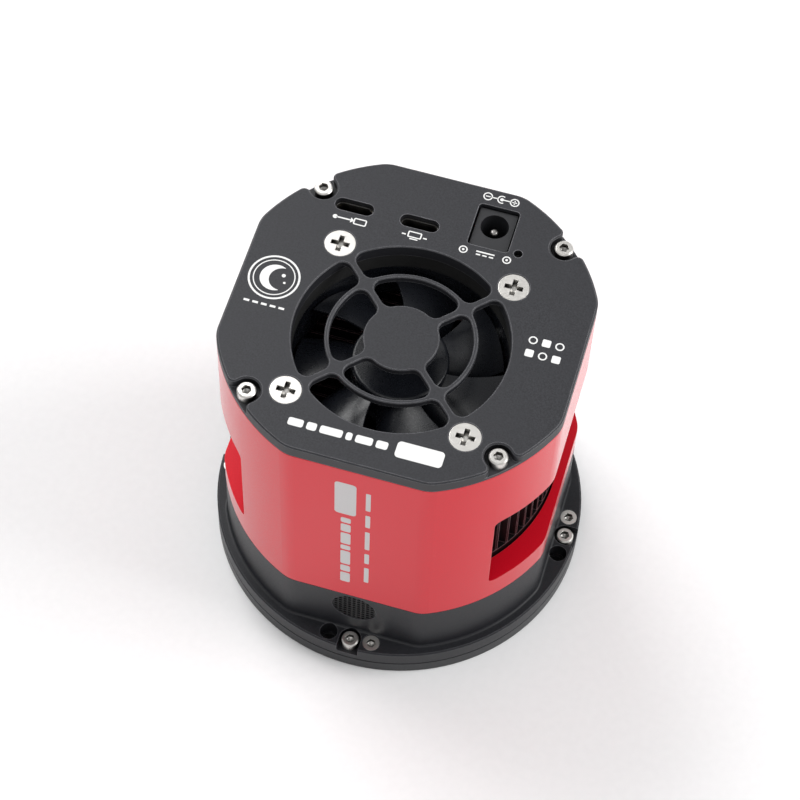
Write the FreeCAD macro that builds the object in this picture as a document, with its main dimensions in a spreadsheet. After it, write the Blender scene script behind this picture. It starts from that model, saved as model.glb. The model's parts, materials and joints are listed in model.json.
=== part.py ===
"""Cooled astronomy camera, built as an assembly of separate parts.

The camera stands on its optical side.  The origin is the centre of the front face of the tilt
plate, +Z runs up the optical axis towards the fan end, +X points at one of the two air windows
and +Y at the edge with the sockets.  All sizes are millimetres.
"""
import FreeCAD, Part
import math
import os
import re

import Sketcher
from FreeCAD import Placement, Rotation, Vector

# Driving dimensions: alias, value, meaning.  Levels are heights above the tilt plate's front face.
SIZES = [
    # outer form
    ("flats", 78.0, "across two opposite flats of the body"),
    ("corner_radius", 42.1, "radius of the four corner arcs, about the optical axis"),
    ("corner_round", 8.0, "rounding where a flat meets a corner arc"),
    ("rim_radius", 44.5, "radius of the flange and of the tilt plate"),
    ("edge_break", 0.35, "chamfer on the outer edges"),
    ("seam_break", 0.15, "chamfer beside the tilt gap"),
    ("joint_break", 0.25, "chamfer on the housing's two seams"),
    # levels of the outer parts
    ("plate_top", 3.9, "top of the tilt plate"),
    ("flange_low", 4.2, "underside of the flange, above the tilt gap"),
    ("flange_top", 8.5, "top of the flange"),
    ("joint_level", 25.0, "joint between front body and housing"),
    ("cover_low", 82.7, "joint between housing and rear cover"),
    ("cover_top", 86.0, "outer face of the rear cover"),
    # tilt stations
    ("station_circle", 41.7, "radius of the circle that carries the tilt screws"),
    ("push_angle", 7.0, "angle from a pull screw to its push screw"),
    ("bolt_angle", 7.4, "angle from a pull screw to the accessory hole"),
    ("notch_width", 5.2, "width of the slot round a pull screw's head"),
    ("notch_floor", 6.0, "level of the slot's floor in the flange"),
    ("seat_play", 0.02, "play under a pull screw's head"),
    ("pull_hole", 1.5, "clearance hole radius of a pull screw in the flange"),
    ("pull_thread", 1.34, "pull screw's thread radius in the tilt plate"),
    ("push_thread", 2.08, "push screw's thread radius in the flange"),
    ("accessory_hole", 2.1, "accessory screw's clearance hole radius in the flange"),
    ("accessory_thread", 1.65, "accessory screw's thread radius in the tilt plate"),
    ("lens_thread", 20.6, "wall radius of the optical thread in the tilt plate"),
    ("pull_tip", 1.0, "level of a pull screw's tip"),
    ("push_radius", 2.0, "push screw radius"),
    ("push_point", 1.0, "radius of a push screw's flat point"),
    ("push_top", 8.4, "level of a push screw's end"),
    ("push_cone", 1.0, "length of a push screw's point"),
    ("small_key", 2.0, "across flats of the hexagon sockets"),
    ("key_depth", 1.3, "depth of the hexagon sockets"),
    ("drill_point", 0.5, "depth of the drill point under a screw's recess"),
    # light seal
    ("seal_inner", 24.7, "inner radius of the light seal ring"),
    ("seal_outer", 27.7, "outer radius of the light seal ring"),
    ("seal_low", 3.45, "underside of the light seal ring"),
    ("seal_high", 4.05, "top of the light seal ring"),
    ("seal_groove_low", 3.1, "floor of the groove that holds the light seal ring"),
    ("seal_side_gap", 0.3, "gap beside the light seal ring"),
    # small cap screws
    ("cap_head", 2.1, "head radius of the small cap screws"),
    ("cap_height", 2.5, "head height of the small cap screws"),
    ("cap_shank", 1.25, "shank radius of the small cap screws"),
    ("cap_thread", 1.28, "thread radius for the small cap screws"),
    ("cap_clear", 1.4, "clearance hole radius for the small cap screws"),
    ("cap_round", 0.3, "chamfer on the heads of the small cap screws"),
    # front body inside
    ("retainer_radius", 24.0, "radius of the thread that holds the window retainer"),
    ("glass_low", 6.9, "outer face of the chamber window"),
    ("glass_high", 8.9, "inner face of the chamber window"),
    ("glass_radius", 23.0, "radius of the chamber window"),
    ("glass_pocket", 23.2, "radius of the window's seat"),
    ("aperture", 19.5, "radius of the aperture behind the window"),
    ("window_ring_inner", 20.4, "inner radius of the window seal's groove"),
    ("window_ring_outer", 22.2, "outer radius of the window seal's groove"),
    ("window_ring_high", 10.1, "floor of the window seal's groove"),
    ("chamber_low", 11.5, "floor of the sealed chamber"),
    ("chamber_radius", 30.0, "radius of the sealed chamber"),
    ("spigot_radius", 33.8, "radius of the spigot that enters the housing"),
    ("sink_low", 28.5, "underside of the heatsink"),
    ("chamber_ring_inner", 31.1, "inner radius of the chamber seal's groove"),
    ("chamber_ring_outer", 32.9, "outer radius of the chamber seal's groove"),
    ("chamber_ring_low", 27.3, "floor of the chamber seal's groove"),
    ("foot_fillet", 0.7, "fillet between flange and wall"),
    # desiccant port
    ("port_level", 19.2, "height of the desiccant port's axis"),
    ("port_radius", 5.3, "radius of the desiccant port's mouth"),
    ("port_depth", 1.6, "depth of the mouth"),
    ("port_bore", 4.3, "radius of the bore behind the mouth"),
    ("mesh_recess", 0.15, "how far the mesh lies below the flat"),
    ("mesh_thick", 0.25, "thickness of the mesh"),
    ("mesh_pitch", 1.1, "spacing of the mesh openings"),
    ("mesh_open", 0.72, "width of a mesh opening"),
    ("membrane_thick", 0.3, "thickness of the membrane"),
    ("tablet_radius", 4.2, "radius of the desiccant tablet"),
    ("tablet_length", 6.0, "length of the desiccant tablet"),
    # screws between front body and housing
    ("body_screw_offset", 27.3, "x and y of the screws that hold the housing"),
    ("body_screw_seat", 16.0, "level that those screws' heads bear on"),
    ("body_screw_bore", 2.35, "radius of the deep holes for their heads"),
    ("body_screw_tip", 30.0, "level of their tips"),
    ("body_thread_high", 31.0, "end of their threaded holes"),
    # housing
    ("lower_bore", 34.0, "bore radius of the housing's lower flange"),
    ("bore", 37.0, "bore radius of the housing"),
    ("window_low", 32.4, "sill of the air windows"),
    ("window_high", 60.6, "top of the air windows"),
    ("window_half", 30.2, "half width of the air windows"),
    ("window_round", 1.5, "corner radius of the air windows"),
    ("fan_pocket_low", 62.0, "floor of the fan's pocket"),
    ("fan_pocket", 51.0, "side of the fan's pocket"),
    ("fan_pocket_round", 4.0, "corner radius of the fan's pocket"),
    # heatsink
    ("sink_radius", 36.6, "radius of the heatsink's base"),
    ("fin_radius", 36.4, "radius that the fins end on"),
    ("base_top", 34.0, "top of the heatsink's base"),
    ("fin_top", 64.0, "top of the fins"),
    ("fin_pitch", 2.6, "spacing of the fins"),
    ("fin_thick", 0.55, "thickness of a fin"),
    ("fin_first", -35.1, "y of the first fin's middle"),
    ("sink_screw_circle", 35.4, "radius of the heatsink screws' circle"),
    ("sink_screw_tip", 25.5, "level of the heatsink screws' tips"),
    ("sink_screw_pocket", 2.7, "radius cleared in the fins round a heatsink screw"),
    # sensor stack
    ("die_level", 17.5, "image plane"),
    ("package_low", 16.6, "front of the sensor's ceramic package"),
    ("package_high", 19.2, "back of the sensor's ceramic package"),
    ("package_length", 28.0, "sensor package along x"),
    ("package_width", 21.0, "sensor package along y"),
    ("die_length", 21.0, "sensor die along x"),
    ("die_width", 15.0, "sensor die along y"),
    ("die_high", 18.2, "back of the sensor die"),
    ("cavity_length", 22.4, "package cavity along x"),
    ("cavity_width", 16.4, "package cavity along y"),
    ("lid_low", 15.9, "front of the sensor's cover glass"),
    ("lid_length", 26.0, "sensor cover glass along x"),
    ("lid_width", 19.0, "sensor cover glass along y"),
    ("board_thick", 1.6, "thickness of the circuit boards"),
    ("sensor_board_radius", 28.5, "radius of the sensor board"),
    ("finger_length", 17.0, "cold finger's nose along x"),
    ("finger_width", 12.0, "cold finger's nose along y"),
    ("finger_gap", 0.5, "gap round the nose in the sensor board"),
    ("finger_plate", 32.0, "side of the cold finger's plate"),
    ("finger_plate_low", 22.0, "underside of the cold finger's plate"),
    ("finger_plate_high", 23.4, "top of the cold finger's plate"),
    ("post_offset", 19.0, "x and y of the sensor board's posts"),
    ("post_radius", 2.2, "radius of the sensor board's posts"),
    ("tiny_shank", 0.95, "shank radius of the board screws"),
    ("tiny_thread", 0.98, "thread radius for the board screws"),
    ("tiny_clear", 1.1, "clearance hole radius for the board screws"),
    ("tiny_head", 1.9, "head radius of the board screws"),
    ("tiny_height", 1.2, "head height of the board screws"),
    ("tiny_length", 4.0, "length of the board screws"),
    ("heater_inner", 19.8, "inner radius of the dew heater"),
    ("heater_outer", 24.0, "outer radius of the dew heater"),
    ("heater_thick", 0.5, "thickness of the dew heater"),
    # two-stage thermoelectric cooler
    ("ceramic", 0.7, "thickness of a cooler plate"),
    ("cold_side", 18.0, "side of the cold plate"),
    ("middle_side", 25.0, "side of the middle plate"),
    ("hot_side", 30.0, "side of the hot plate"),
    ("pellet_height", 1.2, "height of a cooler pellet"),
    ("pellet_side", 1.4, "side of a cooler pellet"),
    ("cold_pellet_pitch", 4.0, "spacing of the pellets of the cold stage"),
    ("hot_pellet_pitch", 4.2, "spacing of the pellets of the hot stage"),
    ("pad_low", 27.9, "underside of the thermal pad"),
    ("foam_outer", 37.0, "outer side of the foam insulator"),
    ("foam_inner", 31.0, "inner side of the foam insulator"),
    ("foam_low", 23.7, "underside of the foam insulator"),
    ("foam_high", 28.3, "top of the foam insulator"),
    # boards beside the heatsink
    ("header_near", 24.2, "near side of the header, along y"),
    ("header_far", 27.2, "far side of the header, along y"),
    ("header_half", 8.0, "half length of the header"),
    ("header_gap", 0.3, "potting gap round the header"),
    ("main_board_near", 25.0, "near face of the main board, along y"),
    ("main_board_half", 22.0, "half width of the main board"),
    ("main_board_low", 36.0, "lower edge of the main board"),
    ("main_board_high", 69.4, "upper edge of the main board"),
    ("port_board_low", 72.4, "underside of the socket board"),
    ("port_board_near", 20.4, "edge of the socket board beside the fan"),
    ("port_board_radius", 36.2, "round edge of the socket board"),
    ("link_half", 12.0, "half length of the board connector"),
    ("link_near", 21.6, "near side of the board connector, along y"),
    ("link_low", 66.4, "underside of the board connector"),
    # sockets
    ("socket_line", 24.9, "y of the two data sockets"),
    ("device_x", -19.8, "x of the first data socket"),
    ("main_x", -4.6, "x of the second data socket"),
    ("slot_length", 9.0, "length of a data socket's slot in the cover"),
    ("slot_width", 3.3, "width of a data socket's slot in the cover"),
    ("shell_length", 8.84, "data socket's shell along x"),
    ("shell_width", 3.16, "data socket's shell along y"),
    ("shell_wall", 0.3, "wall of a data socket's shell"),
    ("shell_top", 84.6, "mouth of a data socket"),
    ("tongue_length", 6.7, "data socket's tongue along x"),
    ("tongue_width", 0.7, "data socket's tongue along y"),
    ("tongue_top", 82.4, "end of a data socket's tongue"),
    ("socket_floor", 78.5, "floor inside a data socket"),
    ("power_x", 11.6, "x of the power socket"),
    ("power_y", 28.6, "y of the power socket"),
    ("power_length", 9.5, "power socket's opening along x"),
    ("power_width", 11.5, "power socket's opening along y"),
    ("power_gap", 0.4, "gap round the power socket"),
    ("power_round", 0.9, "corner radius of the power socket's opening"),
    ("power_top", 85.0, "face of the power socket"),
    ("power_bore", 3.2, "bore radius of the power socket"),
    ("power_floor", 75.5, "floor of the power socket's bore"),
    ("power_pin", 1.05, "radius of the power socket's pin"),
    ("power_pin_top", 83.3, "end of the power socket's pin"),
    ("power_bore_back", 1.0, "how far the bore lies towards +Y from the socket's middle"),
    ("light_x", 18.6, "x of the status light"),
    ("light_y", 23.4, "y of the status light"),
    ("light_radius", 1.0, "radius of the status light's hole"),
    ("light_gap", 0.05, "gap round the light pipe"),
    ("light_top", 84.2, "end of the light pipe"),
    ("cover_post", 1.9, "radius of the posts between cover and socket board"),
    # rear cover
    ("cover_screw_offset", 28.0, "x and y of the cover screws"),
    ("cover_notch_width", 6.2, "width of the slot round a cover screw's head"),
    ("cover_notch_floor", 83.6, "level of that slot's floor"),
    ("mouth_round", 1.5, "rounding at the mouth of that slot"),
    ("cover_screw_tip", 75.4, "level of the cover screws' tips"),
    ("cover_thread_low", 74.5, "end of the cover screws' holes"),
    # grille and fan
    ("fan_y", -5.5, "y of the fan's axis"),
    ("grille_radius", 24.0, "radius of the grille's opening"),
    ("grille_low", 84.4, "underside of the grille's bars"),
    ("grille_ring", 16.3, "middle radius of the grille's ring"),
    ("grille_ring_width", 1.0, "width of the grille's ring"),
    ("grille_disc", 8.4, "radius of the grille's disc"),
    ("spoke_width", 1.5, "width of a grille spoke"),
    ("cell_round", 2.2, "corner radius of the grille's cells"),
    ("cell_break", 0.2, "chamfer on the grille's cells"),
    ("fan_hole_offset", 20.0, "x and y of the fan screws from the fan's axis"),
    ("fan_side", 50.0, "side of the fan"),
    ("fan_low", 68.2, "lower face of the fan"),
    ("fan_high", 78.2, "upper face of the fan"),
    ("gasket_side", 49.0, "side of the rubber frame between fan and cover"),
    ("fan_round", 3.5, "corner radius of the fan's frame"),
    ("duct_radius", 24.1, "radius of the fan's duct"),
    ("fan_hole", 2.15, "radius of the fan's mounting holes"),
    ("strut_top", 69.8, "top of the fan's struts and motor seat"),
    ("strut_width", 2.4, "width of a fan strut"),
    ("seat_radius", 12.0, "radius of the fan's motor seat"),
    ("tube_outer", 3.5, "outer radius of the bearing tube"),
    ("tube_inner", 3.02, "inner radius of the bearing tube"),
    ("tube_top", 75.8, "top of the bearing tube"),
    ("bearing_outer", 3.0, "outer radius of a fan bearing"),
    ("bearing_inner", 1.04, "inner radius of a fan bearing"),
    ("bearing_height", 2.0, "height of a fan bearing"),
    ("bearing_a", 70.3, "underside of the inner bearing"),
    ("bearing_b", 73.7, "underside of the outer bearing"),
    ("shaft_radius", 1.0, "radius of the fan's shaft"),
    ("shaft_low", 70.0, "lower end of the fan's shaft"),
    ("hub_radius", 10.9, "radius of the fan's hub"),
    ("hub_wall", 0.9, "wall of the fan's hub"),
    ("hub_round", 0.8, "rounding at the top of the fan's hub"),
    ("hub_low", 70.6, "lower edge of the fan's hub"),
    ("hub_high", 77.5, "top of the fan's hub"),
    ("magnet_inner", 9.2, "inner radius of the fan's magnet ring"),
    ("magnet_low", 71.0, "lower edge of the magnet ring"),
    ("magnet_high", 76.0, "upper edge of the magnet ring"),
    ("core_radius", 8.8, "radius of the fan's iron core"),
    ("core_low", 72.4, "lower face of the iron core"),
    ("core_high", 75.0, "upper face of the iron core"),
    ("pole_neck", 2.0, "width of a pole's neck"),
    ("coil_thick", 0.9, "thickness of a winding on its neck"),
    ("coil_set_out", 1.0, "gap between the motor's collar and a coil"),
    ("motor_board_high", 70.4, "top of the fan's circuit board"),
    ("motor_board_radius", 9.6, "radius of the fan's circuit board"),
    ("blade_tip", 23.3, "tip radius of a fan blade"),
    ("blade_thick", 0.9, "thickness of a fan blade"),
    ("blade_low", 70.6, "lower edge of the blades"),
    ("blade_high", 77.3, "upper edge of the blades"),
    ("fan_screw_head", 3.5, "head radius of the fan screws"),
    ("fan_screw_shank", 2.05, "shank radius of the fan screws"),
    ("fan_screw_head_low", 84.3, "end of the fan screws' heads"),
    ("fan_screw_top", 85.9, "face of the fan screws' heads"),
    ("fan_screw_tip", 72.0, "tip of the fan screws"),
    ("sink_recess", 0.12, "gap between a fan screw's head and its countersink"),
    ("cross_width", 1.15, "width of the screws' cross recess"),
    ("cross_length", 4.2, "length of the screws' cross recess"),
    ("cross_depth", 1.4, "depth of the screws' cross recess"),
]
STATIONS = {"a": -90, "b": 0, "c": 90, "d": 180}   # tilt stations, degrees about the optical axis
CORNERS = [(1, 1), (-1, 1), (-1, -1), (1, -1)]
SINK_SCREW_ANGLES = (60, 120, 240, 300)
FIN_COUNT = 23
BLADE_COUNT = 7
BLADE_SECTIONS = [(10.6, 53, 100), (15.0, 60, 103), (19.5, 66, 107), (25.0, 72, 112)]  # radius, edge angles
BLADE_BOW = 0.09   # camber of a blade, as a share of half its chord
POLE_COUNT = 4
STRUT_COUNT = 4
MESH_ROWS = 9
COLD_PELLETS = 4
HOT_PELLETS = 6
SOCKET_POSTS = [("-12", "31.5"), ("19.3", "28.4")]   # x and y of the socket board's posts
MARGIN = "2"   # how far a cutting tool runs past the face it opens
LEVEL_SLACK = 1e-4   # largest height by which an edge may miss the level it is picked at
EDGE_SLACK = 0.05   # largest distance by which an edge may miss the radius or flat it is picked at
RIM_BAND = 0.6   # how far inside the flats the body's outline runs at its rounded corners

doc = FreeCAD.newDocument("cooled_camera")
sheet = doc.addObject("Spreadsheet::Sheet", "Sizes")
size = {}
nodes = {}


def fill_sheet():
    """Write every driving dimension into the sheet, one row each."""
    for row, (alias, value, meaning) in enumerate(SIZES, start=1):
        sheet.set(f"A{row}", meaning)
        sheet.set(f"B{row}", str(value))
        sheet.setAlias(f"B{row}", alias)
        size[alias] = value
    doc.recompute()


def formula(text):
    """Turn sheet aliases in a text into references that an expression understands."""
    return re.sub(r"[a-z_]+", lambda word: f"Sizes.{word[0]}" if word[0] in size else word[0], str(text))


def bind(part, prop, text):
    part.setExpression(prop, formula(text))


def place(part, x, y, z):
    for axis, text in (("x", x), ("y", y), ("z", z)):
        bind(part, f".Placement.Base.{axis}", text)


def cylinder(name, radius, low, high, x="0", y="0"):
    part = doc.addObject("Part::Cylinder", name)
    bind(part, "Radius", radius)
    bind(part, "Height", f"({high}) - ({low})")
    place(part, x, y, low)
    return part


def cone(name, low_radius, high_radius, low, high, x="0", y="0"):
    part = doc.addObject("Part::Cone", name)
    bind(part, "Radius1", low_radius)
    bind(part, "Radius2", high_radius)
    bind(part, "Height", f"({high}) - ({low})")
    place(part, x, y, low)
    return part


def box(name, length, width, low, high, x="0", y="0"):
    """Block centred on (x, y) between two levels."""
    part = doc.addObject("Part::Box", name)
    bind(part, "Length", length)
    bind(part, "Width", width)
    bind(part, "Height", f"({high}) - ({low})")
    place(part, f"({x}) - ({length}) / 2", f"({y}) - ({width}) / 2", low)
    return part


def hexagon(name, across, low, high, x="0", y="0"):
    part = doc.addObject("Part::Prism", name)
    part.Polygon = 6
    bind(part, "Circumradius", f"({across}) / 2 / cos(30)")
    bind(part, "Height", f"({high}) - ({low})")
    place(part, x, y, low)
    return part


def key_socket(name, face, x, y, down=1):
    """Hexagon socket with a drill point at its floor, sunk from a face; down is -1 in a low face."""
    floor = f"{face} - {down} * key_depth"
    point = f"{floor} - {down} * drill_point"
    outside = f"{face} + {down} * {MARGIN}"
    if down > 0:
        walls = hexagon(f"{name}_walls", "small_key", floor, outside, x, y)
        drilled = cone(f"{name}_drilled", "0", "small_key / 2", point, floor, x, y)
    else:
        walls = hexagon(f"{name}_walls", "small_key", outside, floor, x, y)
        drilled = cone(f"{name}_drilled", "small_key / 2", "0", floor, point, x, y)
    return fuse(name, [walls, drilled])


def fuse(name, parts):
    part = doc.addObject("Part::MultiFuse", name)
    part.Shapes = parts
    return part


def common(name, parts):
    part = doc.addObject("Part::MultiCommon", name)
    part.Shapes = parts
    return part


def cut(name, base, tools):
    part = doc.addObject("Part::Cut", name)
    part.Base = base
    part.Tool = tools[0] if len(tools) == 1 else fuse(f"{name}_tools", tools)
    return part


def group(name, parts):
    """Separate solids that share one node."""
    part = doc.addObject("Part::Compound", name)
    part.Links = parts
    return part


def ring(name, inner, outer, low, high, x="0", y="0"):
    return cut(
        name,
        cylinder(f"{name}_outside", outer, low, high, x, y),
        [cylinder(f"{name}_inside", inner, f"{low} - {MARGIN}", f"{high} + {MARGIN}", x, y)],
    )


def frame_block(name, outer, inner, low, high):
    return cut(
        name,
        box(f"{name}_outside", outer, outer, low, high),
        [box(f"{name}_inside", inner, inner, f"{low} - {MARGIN}", f"{high} + {MARGIN}")],
    )


def node(name, part):
    """Give the finished part its own name."""
    part.Label = name
    nodes[name] = part
    return part


def break_edges(name, base, distance, chosen, kind="Part::Chamfer"):
    """Chamfer or fillet the edges of a recomputed part that the function chosen picks."""
    doc.recompute()
    part = doc.addObject(kind, name)
    part.Base = base
    part.Edges = [
        (index, size[distance], size[distance])
        for index, edge in enumerate(base.Shape.Edges, start=1)
        if chosen(edge)
    ]
    return part


def is_level(edge, alias):
    """True for an edge that lies at a level of the sheet."""
    box_of_edge = edge.BoundBox
    return max(abs(box_of_edge.ZMin - size[alias]), abs(box_of_edge.ZMax - size[alias])) < LEVEL_SLACK


def is_upright(edge):
    """True for a straight edge along Z."""
    box_of_edge = edge.BoundBox
    return max(box_of_edge.XLength, box_of_edge.YLength) < 1e-6 < box_of_edge.ZLength


def rounded_block(name, length, width, low, high, radius, x="0", y="0"):
    """Block with rounded upright edges; radius is the alias of a size."""
    block = box(f"{name}_block", length, width, low, high, x, y)
    return break_edges(name, block, radius, is_upright, "Part::Fillet")


def body_prism(name, low, high):
    """The body's outline: a square cut back to four concentric corner arcs."""
    square = box(f"{name}_square", "flats", "flats", low, high)
    circle = cylinder(f"{name}_circle", "corner_radius", low, high)
    return break_edges(
        name, common(f"{name}_sharp", [square, circle]), "corner_round", is_upright, "Part::Fillet"
    )


def on_circle(radius, angle, centre_y="0"):
    """Formulas of x and y at an angle on a circle about (0, centre_y)."""
    return f"({radius}) * cos({angle})", f"({centre_y}) + ({radius}) * sin({angle})"


def at_corners(offset, centre_y="0"):
    """Formulas of x and y at the four corners of a square."""
    return [(f"{sx} * ({offset})", f"({centre_y}) + {sy} * ({offset})") for sx, sy in CORNERS]


def turned(name, corners):
    """PartDesign body turned about Z from the (radius, level) corners of its half section."""
    body = doc.addObject("PartDesign::Body", name)
    sketch = body.newObject("Sketcher::SketchObject", f"{name}_section")
    plane = next(item for item in body.Origin.OriginFeatures if item.Role == "XZ_Plane")
    sketch.AttachmentSupport = [(plane, "")]
    sketch.MapMode = "FlatFace"
    count = len(corners)
    rough = [Vector(10 + 5 * math.cos(k * math.tau / count), 5 * math.sin(k * math.tau / count), 0)
             for k in range(count)]
    for k in range(count):
        sketch.addGeometry(Part.LineSegment(rough[k], rough[(k + 1) % count]), False)
    for k in range(count):
        sketch.addConstraint(Sketcher.Constraint("Coincident", k, 2, (k + 1) % count, 1))
    for k, (radius, level) in enumerate(corners):
        for kind, text, start in (("DistanceX", radius, rough[k].x), ("DistanceY", level, rough[k].y)):
            index = sketch.addConstraint(Sketcher.Constraint(kind, -1, 1, k, 1, start))
            sketch.renameConstraint(index, f"{kind}_{k}")
            bind(sketch, f"Constraints.{kind}_{k}", text)
    revolution = body.newObject("PartDesign::Revolution", f"{name}_turning")
    revolution.Profile = sketch
    revolution.ReferenceAxis = (sketch, ["V_Axis"])
    revolution.Angle = 360
    body.Tip = revolution
    return body


def cap_screw(name, seat, tip, x, y, up=1, radius="cap_shank"):
    """Hexagon socket cap screw: head above its seat, or below it where up is -1."""
    face = f"{seat} + {up} * cap_height"
    low, high = (seat, face) if up > 0 else (face, seat)
    shank_low, shank_high = (tip, seat) if up > 0 else (seat, tip)
    head = cylinder(f"{name}_head", "cap_head - cap_round", low, high, x, y)
    crown_low, crown_high = (seat, f"{face} - cap_round") if up > 0 else (f"{face} + cap_round", seat)
    crown = cylinder(f"{name}_crown", "cap_head", crown_low, crown_high, x, y)
    if up > 0:
        bevel = cone(f"{name}_bevel", "cap_head", "cap_head - cap_round", crown_high, face, x, y)
    else:
        bevel = cone(f"{name}_bevel", "cap_head - cap_round", "cap_head", face, crown_low, x, y)
    shank = cylinder(f"{name}_shank", radius, shank_low, shank_high, x, y)
    socket = key_socket(f"{name}_socket", face, x, y, up)
    return cut(name, fuse(f"{name}_solid", [head, crown, bevel, shank]), [socket])


def board_screw(name, seat, x, y, up=1):
    """Small round-headed screw that holds a circuit board."""
    end = f"{seat} + {up} * tiny_height"
    tip = f"{seat} - {up} * tiny_length"
    low, high = (seat, end) if up > 0 else (end, seat)
    shank_low, shank_high = (tip, seat) if up > 0 else (seat, tip)
    head = cylinder(f"{name}_head", "tiny_head", low, high, x, y)
    shank = cylinder(f"{name}_shank", "tiny_shank", shank_low, shank_high, x, y)
    return fuse(name, [head, shank])


# ---------------------------------------------------------------- tilt plate and its screws


def make_tilt_plate():
    blank = turned("plate_blank", [
        ("lens_thread", "0"),
        ("rim_radius - edge_break", "0"),
        ("rim_radius", "edge_break"),
        ("rim_radius", "plate_top - seam_break"),
        ("rim_radius - seam_break", "plate_top"),
        ("seal_outer + seal_side_gap", "plate_top"),
        ("seal_outer + seal_side_gap", "seal_groove_low"),
        ("seal_inner - seal_side_gap", "seal_groove_low"),
        ("seal_inner - seal_side_gap", "plate_top"),
        ("lens_thread", "plate_top"),
    ])
    holes = []
    for letter, angle in STATIONS.items():
        x, y = on_circle("station_circle", angle)
        holes.append(cylinder(f"plate_pull_{letter}", "pull_thread", f"-{MARGIN}",
                              f"plate_top + {MARGIN}", x, y))
        x, y = on_circle("station_circle", f"{angle} - bolt_angle")
        holes.append(
            cylinder(f"plate_bolt_{letter}", "accessory_thread", f"-{MARGIN}", f"plate_top + {MARGIN}",
                     x, y)
        )
    node("tilt_plate", cut("plate_drilled", blank, holes))


def make_light_seal_ring():
    node("light_seal_ring", turned("seal_ring", [
        ("seal_inner", "seal_low"),
        ("seal_outer", "seal_low"),
        ("seal_outer", "seal_high"),
        ("seal_inner", "seal_high"),
    ]))


def make_tilt_screws():
    """One pull and one push screw at each station."""
    for letter, angle in STATIONS.items():
        x, y = on_circle("station_circle", angle)
        node(f"pull_screw_{letter}",
             cap_screw(f"pull_{letter}", "notch_floor + seat_play", "pull_tip", x, y))
        x, y = on_circle("station_circle", f"{angle} + push_angle")
        point = cone(f"push_{letter}_point", "push_point", "push_radius", "plate_top",
                     "plate_top + push_cone", x, y)
        barrel = cylinder(f"push_{letter}_barrel", "push_radius", "plate_top + push_cone", "push_top", x, y)
        socket = key_socket(f"push_{letter}_socket", "push_top", x, y)
        node(f"push_screw_{letter}",
             cut(f"push_{letter}", fuse(f"push_{letter}_solid", [point, barrel]), [socket]))


# ---------------------------------------------------------------- front body and sealed chamber


def flange_openings():
    """Slots, thread holes and clearance holes of the four tilt stations."""
    tools = []
    top = f"flange_top + {MARGIN}"
    bottom = f"flange_low - {MARGIN}"
    for letter, angle in STATIONS.items():
        x, y = on_circle("station_circle", angle)
        tools.append(cylinder(f"slot_end_{letter}", "notch_width / 2", "notch_floor", top, x, y))
        slot = box(f"slot_{letter}", f"rim_radius - station_circle + {MARGIN}", "notch_width",
                   "notch_floor", top)
        slot.Placement.Rotation = Rotation(Vector(0, 0, 1), angle)
        corner_x, corner_y = on_circle("station_circle", angle)
        side_x, side_y = on_circle("notch_width / 2", f"{angle} - 90")
        place(slot, f"{corner_x} + {side_x}", f"{corner_y} + {side_y}", "notch_floor")
        tools.append(slot)
        tools.append(cylinder(f"pull_clear_{letter}", "pull_hole", bottom, top, x, y))
        x, y = on_circle("station_circle", f"{angle} + push_angle")
        tools.append(cylinder(f"push_thread_{letter}", "push_thread", bottom, top, x, y))
        x, y = on_circle("station_circle", f"{angle} - bolt_angle")
        tools.append(cylinder(f"bolt_clear_{letter}", "accessory_hole", bottom, top, x, y))
    return tools


def port_cylinder(name, radius, outer, inner):
    """Cylinder of the desiccant port, between two depths below the front flat."""
    part = doc.addObject("Part::Cylinder", name)
    bind(part, "Radius", radius)
    bind(part, "Height", f"({inner}) - ({outer})")
    part.Placement.Rotation = Rotation(Vector(1, 0, 0), -90)
    place(part, "0", f"-flats / 2 + ({outer})", "port_level")
    return part


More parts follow.
